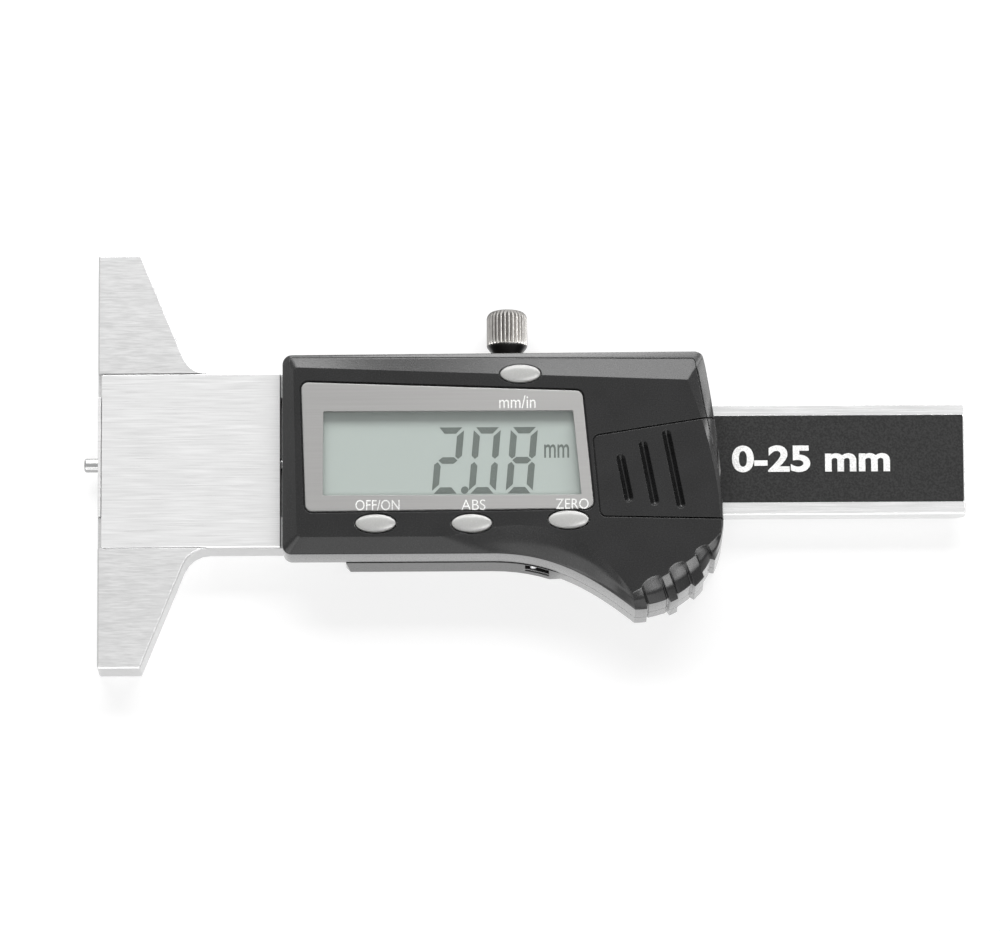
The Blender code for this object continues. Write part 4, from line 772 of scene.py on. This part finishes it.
def front_housing(material):
    """Front shell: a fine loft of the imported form, hollowed, with its window, holes and door bay."""
    start, end, low, high = 17.75, 76.75, -13.05, 12.95
    corners = [(start, low), (end, low), (end, -0.05), (end - 1.45, high), (start, high)]
    inside = soft_polygon(corners, (0.65,) * 5)
    covers = [screw_place(f"cover_screw_{i}") for i in (1, 2, 3, 4)]
    boards = [(21.6, y) for y in (-10.9, 10.9)]
    bosses = [rod(boss_radius, 0, 12.5, at) for at in covers if at[1] > -15]
    bosses += [rod(boss_radius, 5.4, 12.5, at) for at in boards]
    bosses.append(rod(cup_radius, 5.4, 12.5, cell, steps=96))
    cavity = new_piece("cavity", *slab(inside, hollow_foot, hollow_roof), None, None, material)
    carved(cavity, [("DIFFERENCE", boss) for boss in bosses])
    window = soft_polygon([(21.65, -6.85), (58.95, -6.85), (58.65, 6.25), (21.65, 6.25)], (0.5,) * 4)
    shell = new_piece("front_housing_fine", *lofted(housing_rings()), "head", "housing_black", material,
                      ("front_housing",))
    neck = box(15.35, 18.05, -12.8, 12.8, hollow_foot, 6.55)
    beam = box(73.25, 79.9, -8.1, 8.1, hollow_foot, 5.35)
    cuts = [taken(cavity), neck, slab(lens_plan(0.26), lens_floor, clear_z), slab(window, window_floor, 12.4)]
    cuts += [slab(ellipse(6.12, 3.05, at), window_floor, clear_z) for at in buttons.values()]
    cuts += [slab(door_plan(0.12), door_floor, clear_z), slab(lip_plan(0.1), 9.15, 11.4)]
    cuts += [box(x - 0.2, 82, y0 - 0.1, y1 + 0.1, 10.6, 11.6) for x, y0, y1 in rails]
    cuts += [rod(cell_room, 5.65, clear_z, cell, steps=96), box(61.6, 64.3, -4.65, -2.15, 5.7, 7.3),
             box(61.6, 71.4, 2.25, 2.85, 6.2, 10.35)]
    cuts += [rod(hole_radius, 0.85, 7.5, at, steps=24) for at in covers]
    cuts += [rod(hole_radius, 1.4, 9.4, at, steps=24) for at in boards]
    cuts += [rod(lock_bore, 11.5, 16.0, (lock_x, 0, lock_z), "Y"), beam]
    carved(shell, [("DIFFERENCE", cut) for cut in cuts])


def rear_cover(material):
    """Rear shell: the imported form, its grip trimmed and filled to the front's outline, its opening higher.

    A band follows the grip's outline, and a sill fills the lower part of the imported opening.
    """
    shell = smoothed_copy("rear_cover", material)
    stretches = wall_plan()
    grip = grip_part(stretches)
    outside = np.vstack(stretches)[grip.start + 4:grip.stop - 4]
    outward = (outside - grip_centre) / np.linalg.norm(outside - grip_centre, axis=1, keepdims=True)
    beyond = np.vstack([outside + outward * 0.01, (grip_centre + outward * 14.5)[::-24]])
    band = np.vstack([outside, (grip_centre + outward * 9.8)[::-24]])
    sill = np.array([
        (50.65, -15.15), (51.2, -15.22), (52.76, -15.56), (54.15, -15.95), (54.15, -14.0), (50.65, -14.0)])
    carved(shell, [
        ("DIFFERENCE", slab(beyond, -0.5, 4.7)), ("UNION", slab(band, 0.2, 4.2)),
        ("UNION", slab(sill, 1.4, 2.4)), ("DIFFERENCE", box(50.7, 54.1, -17.0, -13.85, 2.4, 4.0))])


def battery_door(material, groove_depth):
    """Sliding door: the same loft kept inside the door's outline, with ball-ended thumb grooves."""
    keep = new_piece("keep", *slab(door_plan(-0.1), 11.4, clear_z), None, None, material)
    carved(keep, [("UNION", slab(lip_plan(-0.1), 9.25, 11.825))])
    door = new_piece("battery_door_fine", *lofted(housing_rings()), "battery_door", "housing_black",
                     material, ("battery_door",))
    steps = [("INTERSECT", taken(keep))]
    steps += [("UNION", box(x, x + 4.0, y0, y1, 10.8, 11.45)) for x, y0, y1 in rails]
    door_height = 11.6
    for u, v, reach in groove_places:
        at = (60.9 + u * door_length, -9.5 + v * door_height)
        steps.append(("DIFFERENCE", ball_groove(at, reach * door_height, groove_depth)))
    carved(door, steps)


def ball_groove(at, length, depth):
    """Cutter for a thumb groove: round-ended outlines at q of its width, depth (1 - q^1.4) below the face."""
    radius = groove_width / 2
    reach = length / 2 - radius
    t = np.linspace(0, math.pi, 16)
    round_end = np.stack([np.cos(t), np.sin(t)], axis=1)
    levels = [(q, -depth * (1 - q ** 1.4)) for q in (0.02, 0.12, 0.3, 0.5, 0.7, 0.86)]
    levels += [(1.0, 0.0), (1.0, 0.6)]
    rings = []
    for q, lift in levels:
        high, low = round_end * radius * q + (0, reach), -round_end * radius * q - (0, reach)
        rings.append(at_level(np.vstack([high, low]), face_z + lift))
    x, y, z = np.moveaxis(np.array(rings), -1, 0)
    c, s = math.cos(groove_lean), math.sin(groove_lean)
    return lofted(np.stack([c * x - s * y + at[0], s * x + c * y + at[1], z], axis=-1))


def button_form(at, crown):
    """Push button: stem, flange and oval sides under a dome whose height is crown * sqrt(1 - r^2)."""
    stem, flange, sides = ellipse(1.8, 1.8), ellipse(6.85, 3.15), ellipse(5.65, 2.55)
    foot, seat, rim_z, dome = 8.8, 10.2, 10.8, 12.3
    rings = [at_level(stem, foot), at_level(stem, seat), at_level(flange, seat), at_level(flange, rim_z)]
    rings += [at_level(sides, rim_z), at_level(sides, dome)]
    for angle in np.radians((8, 16, 26, 36, 46, 56, 66, 75, 83, 88)):
        rings.append(at_level(sides * math.cos(angle), dome + crown * math.sin(angle)))
    return lofted(np.array(rings) + np.array([at[0], at[1], 0.0]))


def lock_screw_form(depth):
    """Knurled lock screw turned about its axis, from its tip to its rounded top.

    Its valleys are a squared raised cosine of the angle, and fade out above the cone and below the top.
    """
    def knurled(angle, radius, height):
        valley = (0.5 + 0.5 * np.cos(30 * angle)) ** 2
        fade = np.clip((height - 7.1) / 0.3, 0, 1) * np.clip((11.9 - height) / 0.8, 0, 1)
        return radius - depth * valley * fade

    edge = np.radians(np.linspace(0, 90, 8))
    profile = [
        (0, 0), (1.25, 0), (1.45, 0.2), (1.45, 2.7), (1.75, 2.9), (1.75, 5.6), (1.95, 5.8), (2.72, 6.75),
        (2.86, 6.98), (2.9, 7.15), (2.9, 7.35), (2.9, 8.2), (2.9, 9.6), (2.9, 10.8)]
    profile += list(zip(1.8 + 1.1 * np.cos(edge), 11.05 + 1.1 * np.sin(edge)))
    profile += [(1.0, 12.15), (0, 12.15)]
    return laid(turned(profile, 480, knurled), (lock_x, 9.95, lock_z), "Y")


# Outlines of the display's segments in millimetres from a figure's middle
segments = {
    "top": [(-1.51, 4.75), (-0.78, 3.92), (0.78, 3.92), (1.51, 4.75)],
    "upper_right": [(1.87, 4.27), (1.02, 3.48), (1.02, 0.60), (1.42, 0.28), (1.87, 0.72)],
    "lower_right": [(1.87, -4.27), (1.87, -0.62), (1.45, -0.30), (1.02, -0.80), (1.02, -3.44)],
    "bottom": [(-1.51, -4.75), (1.51, -4.75), (0.78, -3.92), (-0.78, -3.92)],
    "lower_left": [(-1.87, -4.27), (-1.02, -3.44), (-1.02, -0.80), (-1.45, -0.30), (-1.87, -0.62)],
    "upper_left": [(-1.87, 4.27), (-1.87, 0.72), (-1.42, 0.28), (-1.02, 0.60), (-1.02, 3.48)],
    "middle": [(-1.28, 0.0), (-0.78, -0.43), (0.78, -0.43), (1.28, 0.0), (0.78, 0.43), (-0.78, 0.43)],
}
figures = {
    "2": ("top", "upper_right", "middle", "lower_left", "bottom"),
    "0": ("top", "upper_right", "lower_right", "bottom", "lower_left", "upper_left"),
    "8": tuple(segments),
}
figure_places = (("2", 39.85), ("0", 45.05), ("8", 50.3))
point_place, figure_lean, figure_grow, figure_y = 42.57, 0.088, 0.045, -1.10


def turned_inside(outline):
    """True for an outline that runs clockwise: its area by the shoelace sum is negative."""
    after = np.roll(outline, -1, axis=0)
    return np.sum(outline[:, 0] * after[:, 1] - after[:, 0] * outline[:, 1]) < 0


def reading():
    """Figures of the display: segment outlines sheared by x + lean * y and raised between two levels."""
    shapes = [(np.array(segments[part]), x) for figure, x in figure_places for part in figures[figure]]
    shapes.append((ellipse(0.98, 0.98, (0, -4.28), 20), point_place))
    points, faces, count = [], [], 0
    for outline, x in shapes:
        outline = grown(outline[::-1] if turned_inside(outline) else outline, figure_grow)
        placed = np.stack([x + outline[:, 0] + figure_lean * outline[:, 1], outline[:, 1] + figure_y], axis=1)
        solid, sides = slab(placed, *ink_levels)
        points.append(solid)
        faces += [[i + count for i in face] for face in sides]
        count += len(solid)
    return np.vstack(points), faces


def lettering(name, words, centre, size, levels, body, slot, material, weight=0.0):
    """Words as a thin solid: a text curve made a mesh, with its box fitted to a centre, a size and levels."""
    curve = bpy.data.curves.new(name, "FONT")
    curve.body = words
    curve.extrude = 0.1
    curve.offset = weight
    curve.resolution_u = 6
    text = bpy.data.objects.new(name, curve)
    bpy.context.scene.collection.objects.link(text)
    mesh = bpy.data.meshes.new_from_object(text.evaluated_get(bpy.context.evaluated_depsgraph_get()))
    points, faces = shape_of(mesh)
    low, high = points.min(axis=0), points.max(axis=0)
    corner = np.array([centre[0] - size[0] / 2, centre[1] - size[1] / 2, levels[0]])
    points = corner + (points - low) / (high - low) * np.array([*size, levels[1] - levels[0]])
    bpy.data.objects.remove(text)
    bpy.data.curves.remove(curve)
    bpy.data.meshes.remove(mesh)
    new_piece(name, points, faces, body, slot, material)


def colour_setting(name, description, default):
    """Colour property."""
    return bpy.props.FloatVectorProperty(
        name=name, description=description, subtype="COLOR", size=3, default=default)


def length_setting(name, description, default):
    """Length property, its default in millimetres."""
    return bpy.props.FloatProperty(
        name=name, description=description, subtype="DISTANCE", unit="LENGTH", precision=5,
        default=default * mm)


class CaliperColours(bpy.types.PropertyGroup):
    """Colours a user would change."""

    steel: colour_setting("Steel", "Ground steel of the base", (0.62, 0.62, 0.62))
    beam: colour_setting("Beam", "Steel of the beam", (0.635, 0.635, 0.635))
    housing: colour_setting("Housing", "Moulded housing", (0.006, 0.006, 0.0062))
    lens: colour_setting("Lens", "Grey print round the window", (0.360, 0.356, 0.350))
    lcd: colour_setting("Display", "Liquid crystal panel", (0.366, 0.414, 0.390))
    segments: colour_setting("Figures", "Dark segments", (0.050, 0.068, 0.058))
    buttons: colour_setting("Buttons", "Silver push buttons", (0.412, 0.412, 0.402))
    label: colour_setting("Label", "Ground of the beam's label", (0.018, 0.018, 0.018))


class CaliperSizes(bpy.types.PropertyGroup):
    """Sizes a user would change."""

    crown: length_setting("Button crown", "Height of a push button's dome", 0.37)
    groove: length_setting("Thumb groove", "Depth of the battery door's thumb grooves", 0.68)
    knurl: length_setting("Knurl", "Depth of the valleys round the lock screw", 0.36)


def coat(node, material):
    """Make a material a CAD node's only one."""
    materials = frame["nodes"][node].data.materials
    materials.clear()
    materials.append(material)


def dress(slot, material):
    """Give a material to every CAD node of one of the record's slots."""
    for row in frame["record"]["subparts"]:
        if row["material_slot"] == slot:
            coat(row["node"], material)


class OBJECT_OT_caliper_finishes(bpy.types.Operator):
    """Give every carried-over node its finish"""

    bl_idname = "object.caliper_finishes"
    bl_label = "Finishes"

    def execute(self, context):
        colours = context.scene.caliper_colours
        dress("ground_steel", brushed_metal("ground_steel_look", tuple(colours.steel), 0.30))
        dress("beam_steel", brushed_metal("beam_steel_look", tuple(colours.beam), 0.26))
        dress("screw_steel", plain_metal("screw_steel_look", (0.55, 0.55, 0.56), 0.30))
        dress("dark_steel", plain_metal("dark_steel_look", (0.30, 0.30, 0.31), 0.32))
        dress("brass", plain_metal("brass_look", (0.66, 0.48, 0.22), 0.30))
        dress("label_black", label_print("label_look", tuple(colours.label)))
        dress("board_green", moulded_plastic("board_look", (0.04, 0.20, 0.09), 0.40))
        dress("chip_black", moulded_plastic("chip_look", (0.015, 0.015, 0.015), 0.45))
        dress("rubber_grey", moulded_plastic("rubber_look", (0.20, 0.20, 0.21), 0.80))
        dress("contact_nickel", plain_metal("contact_look", (0.72, 0.69, 0.63), 0.28))
        dress("cell_steel", plain_metal("cell_look", (0.78, 0.78, 0.78), 0.20))
        return {"FINISHED"}


class OBJECT_OT_caliper_housing(bpy.types.Operator):
    """Make the front housing, its battery door and the rear cover"""

    bl_idname = "object.caliper_housing"
    bl_label = "Housing"

    def execute(self, context):
        black = tuple(context.scene.caliper_colours.housing)
        look = moulded_plastic("housing_look", black, 0.26, 6.5 * micron, 160 * micron, 0.9, 0.14, 1.0)
        front_housing(look)
        battery_door(look, context.scene.caliper_sizes.groove / mm)
        rear_cover(look)
        return {"FINISHED"}


class OBJECT_OT_caliper_display(bpy.types.Operator):
    """Make the lens, the liquid crystal panel, its reading and the legends"""

    bl_idname = "object.caliper_display"
    bl_label = "Display"

    def execute(self, context):
        colours = context.scene.caliper_colours
        print_look = lens_print("lens_look", tuple(colours.lens))
        lens = new_piece("lens_frame", *slab(lens_plan(), *lens_levels, 0.18, 5), "head", "lens_grey",
                         print_look, ("display_lens",))
        carved(lens, [("DIFFERENCE", slab(window_plan(), 11.0, 13.0))])
        new_piece("lens_window", *slab(window_plan(-0.02), *pane_levels, 0.03), "head", "lens_grey",
                  clear_pane("window_look"))
        coat("lcd_panel", liquid_crystal("lcd_look", tuple(colours.lcd)))
        ink = moulded_plastic("segment_look", tuple(colours.segments), 0.5)
        new_piece("display_reading", *reading(), "head", "lcd_grey", ink)
        lettering("display_unit", "mm", (55.25, 0.20), (3.55, 1.95), ink_levels, "head", "lcd_grey", ink,
                  0.01)
        white = moulded_plastic("legend_look", (0.74, 0.74, 0.73), 0.5)
        for name, words, centre, size, weight in (
                ("legend_unit", "mm/in", (49.72, 7.05), (5.15, 1.85), 0.0),
                ("legend_power", "OFF/ON", (29.86, -7.78), (6.25, 1.5), 0.0),
                ("legend_abs", "ABS", (43.42, -7.80), (3.4, 1.5), -0.008),
                ("legend_zero", "ZERO", (57.40, -7.72), (4.65, 1.5), 0.0)):
            lettering(name, words, centre, size, legend_levels, "head", "lens_grey", white, weight)
        return {"FINISHED"}


class OBJECT_OT_caliper_controls(bpy.types.Operator):
    """Make the push buttons and the lock screw"""

    bl_idname = "object.caliper_controls"
    bl_label = "Controls"

    def execute(self, context):
        sizes = context.scene.caliper_sizes
        silver = tuple(context.scene.caliper_colours.buttons)
        look = moulded_plastic("button_look", silver, 0.26, 1 * micron, mottle=0.05)
        for name, at in buttons.items():
            form = button_form(at, sizes.crown / mm)
            new_piece(f"{name}_fine", *form, name, "button_silver", look, (name,))
        knurl = knurled_metal("lock_screw_look", (0.33, 0.32, 0.307), (0.012, 0.011, 0.010))
        new_piece("lock_screw_fine", *lock_screw_form(sizes.knurl / mm), "lock_screw", "dark_steel", knurl,
                  ("lock_screw",), 28.0)
        return {"FINISHED"}


class OBJECT_OT_caliper_metalwork(bpy.types.Operator):
    """Make the base, the rod, the visible screws and the beam's label"""

    bl_idname = "object.caliper_metalwork"
    bl_label = "Metalwork"

    def execute(self, context):
        ground = shaded(context.scene.caliper_colours.steel, 0.79)
        smoothed_copy("base", brushed_metal("base_look", ground, 0.34, 160 * micron, 14))
        smoothed_copy("depth_rod", brushed_metal("rod_look", (0.36, 0.36, 0.36), 0.20))
        screw = plain_metal("screw_look", (0.50, 0.50, 0.51), 0.30)
        for node in ("frame_screw_1", "frame_screw_2", "guide_screw_1", "guide_screw_2", "stop_pin"):
            smoothed_copy(node, screw)
        dome = turned([(0.0, 0.5), (0.5, 0.5), (0.5, -0.2), (0.44, -0.36), (0.30, -0.48), (0.0, -0.55)], 32)
        new_piece("side_screw_fine", *laid(dome, (51.9, -14.8, 3.3), "Y"), "head", "screw_steel", screw,
                  ("side_screw",))
        black = plain_metal("black_screw_look", (0.10, 0.10, 0.105), 0.36)
        for node in [f"cover_screw_{i}" for i in (1, 2, 3, 4)] + ["gib_screw_1", "gib_screw_2"]:
            smoothed_copy(node, black)
        white = moulded_plastic("label_print_look", (0.80, 0.80, 0.79), 0.5)
        lettering("label_range", "0-25 mm", (91.5, 0.1), (22.5, 3.9), (5.09, 5.115), "beam", "label_black",
                  white, 0.03)
        return {"FINISHED"}


# Name, place, x of the point on the tool that it faces, width, height and power in metres and watts, and
# whether it lights surfaces and whether it shows in them; a card only shows
lamps = (
    ("lamp_far_side", (0.05, 0.53, 0.50), 0.04, 0.90, 0.26, 6.6, True, True),
    ("lamp_near_side", (0.10, -0.32, 0.72), 0.04, 0.50, 0.20, 1.9, True, False),
    ("card_far_side", (0.14, 0.75, 0.10), 0.04, 1.00, 0.20, 6.8, False, True),
    ("card_far_mid", (0.44, 0.62, 0.34), 0.04, 0.80, 0.20, 3.2, False, True),
    ("card_grip", (0.25, -0.205, 0.70), 0.06, 0.34, 0.18, 2.1, False, True),
    ("card_corner", (0.46, -0.20, 0.60), 0.05, 0.40, 0.40, 2.1, False, True),
    ("card_right", (0.65, 0.24, 0.36), 0.05, 0.46, 0.18, 2.8, False, True),
    ("card_low", (0.05, -0.60, 0.13), 0.04, 0.90, 0.24, 1.2, False, True),
    ("card_sweep", (-0.17, -0.50, 0.44), 0.04, 0.50, 0.20, 0.8, False, True),
    ("card_sweep_low", (-0.38, -0.46, 0.18), 0.04, 0.40, 0.26, 0.9, False, True),
)


class OBJECT_OT_caliper_stage(bpy.types.Operator):
    """Floor, world, lamps and camera"""

    bl_idname = "object.caliper_stage"
    bl_label = "Stage"

    def execute(self, context):
        make_floor()
        make_world(context.scene)
        for lamp in lamps:
            make_lamp(*lamp)
        make_camera(context.scene)
        return {"FINISHED"}


def make_lamp(name, at, faced_x, width, height, power, lights, shows):
    """Soft rectangular lamp that faces a point on the tool's axis."""
    data = bpy.data.lights.new(name, "AREA")
    data.shape = "RECTANGLE"
    data.size, data.size_y = width, height
    data.energy = power
    lamp = bpy.data.objects.new(name, data)
    bpy.context.scene.collection.objects.link(lamp)
    back = (Vector(at) - Vector((faced_x, 0, 0))).normalized()
    side = Vector((0, 0, 1)).cross(back).normalized()
    turn = Matrix((side, back.cross(side), back)).transposed()
    lamp.matrix_world = Matrix.Translation(Vector(at)) @ turn.to_4x4()
    lamp.visible_diffuse = lights
    lamp.visible_glossy = shows


def seen_or_mirrored(g, seen=1.0):
    """1 for glossy and transmission rays, and the value seen for camera rays."""
    path = g.node("ShaderNodeLightPath")
    camera, glossy, through = (
        g.out(path, name) for name in ("Is Camera Ray", "Is Glossy Ray", "Is Transmission Ray"))
    return g.math("MAXIMUM", g.math("MAXIMUM", camera * seen, glossy), through)


def make_floor():
    """Pale floor, wide enough to fill the view, that keeps a soft shadow."""
    half = 2.0
    mesh = bpy.data.meshes.new("floor")
    corners = np.array([(-half, -half, 0), (half, -half, 0), (half, half, 0), (-half, half, 0)])
    mesh.from_pydata(corners.tolist(), [], [(0, 1, 2, 3)])
    floor = bpy.data.objects.new("floor", mesh)
    bpy.context.scene.collection.objects.link(floor)
    g = Graph("floor_look")
    cloth = g.noise(40.0)
    grey = g.mix(cloth, (0.32, 0.32, 0.32), (0.34, 0.34, 0.34))
    strength = seen_or_mirrored(g, 0.80) * 0.92
    both = g.node("ShaderNodeAddShader")
    g.feed(both.inputs[0], g.out(g.node("ShaderNodeBsdfDiffuse", None, {"Color": grey})))
    glow = g.node("ShaderNodeEmission", None, {"Color": (1, 1, 1), "Strength": strength})
    g.feed(both.inputs[1], g.out(glow))
    g.output(g.out(both))
    mesh.materials.append(g.material)


def make_world(scene):
    """World that is white to the camera and in mirrors and gives plain soft light."""
    world = bpy.data.worlds.new("studio_world")
    scene.world = world
    world.use_nodes = True
    g = Graph("studio_world", world.node_tree)
    strength = seen_or_mirrored(g) * 0.78 + 0.22
    shade = g.out(g.node("ShaderNodeBackground", None, {"Color": (1, 1, 1), "Strength": strength}))
    g.node("ShaderNodeOutputWorld", None, {"Surface": shade})


# Camera found from the photograph: 1.2 m from a point on the tool, looking down its far side a little
camera_target = (0.04721, -0.00086, 0.006)
camera_distance = 1.2
camera_tilt = math.radians(11.71)
camera_roll = math.radians(-0.30)
camera_lens = 303.588


def make_camera(scene):
    """Camera at the photograph's angle."""
    data = bpy.data.cameras.new("camera")
    data.lens = camera_lens
    data.sensor_width = 36
    data.clip_start, data.clip_end = 0.05, 20
    camera = bpy.data.objects.new("camera", data)
    scene.collection.objects.link(camera)
    back = Vector((0, -math.sin(camera_tilt), math.cos(camera_tilt)))
    side = Vector((1, 0, 0))
    up = back.cross(side)
    right_way = math.cos(camera_roll) * side + math.sin(camera_roll) * up
    top = -math.sin(camera_roll) * side + math.cos(camera_roll) * up
    turn = Matrix((right_way, top, back)).transposed()
    camera.matrix_world = Matrix.Translation(Vector(camera_target) + back * camera_distance) @ turn.to_4x4()
    scene.camera = camera
    scene.view_settings.view_transform = "Standard"


class VIEW3D_PT_caliper(bpy.types.Panel):
    """Lists the caliper's steps, colours and sizes"""

    bl_idname = "VIEW3D_PT_caliper"
    bl_label = "Depth caliper"
    bl_space_type = "VIEW_3D"
    bl_region_type = "UI"
    bl_category = "Depth caliper"

    def draw(self, context):
        for name in operator_names:
            self.layout.operator(name)
        for name in CaliperColours.__annotations__:
            self.layout.prop(context.scene.caliper_colours, name)
        for name in CaliperSizes.__annotations__:
            self.layout.prop(context.scene.caliper_sizes, name)


operator_names = (
    "object.caliper_finishes", "object.caliper_housing", "object.caliper_display", "object.caliper_controls",
    "object.caliper_metalwork", "object.caliper_stage")
classes = (
    CaliperColours, CaliperSizes, OBJECT_OT_caliper_finishes, OBJECT_OT_caliper_housing,
    OBJECT_OT_caliper_display, OBJECT_OT_caliper_controls, OBJECT_OT_caliper_metalwork,
    OBJECT_OT_caliper_stage, VIEW3D_PT_caliper)


def register():
    """Register the classes and the scene's settings."""
    for cls in classes:
        bpy.utils.register_class(cls)
    bpy.types.Scene.caliper_colours = bpy.props.PointerProperty(type=CaliperColours)
    bpy.types.Scene.caliper_sizes = bpy.props.PointerProperty(type=CaliperSizes)


def unregister():
    """Take the settings and classes away again."""
    del bpy.types.Scene.caliper_sizes
    del bpy.types.Scene.caliper_colours
    for cls in reversed(classes):
        bpy.utils.unregister_class(cls)


def main():
    """Build everything."""
    register()
    for name in operator_names:
        group, step = name.split(".")
        getattr(getattr(bpy.ops, group), step)()


if __name__ == "__main__":
    main()
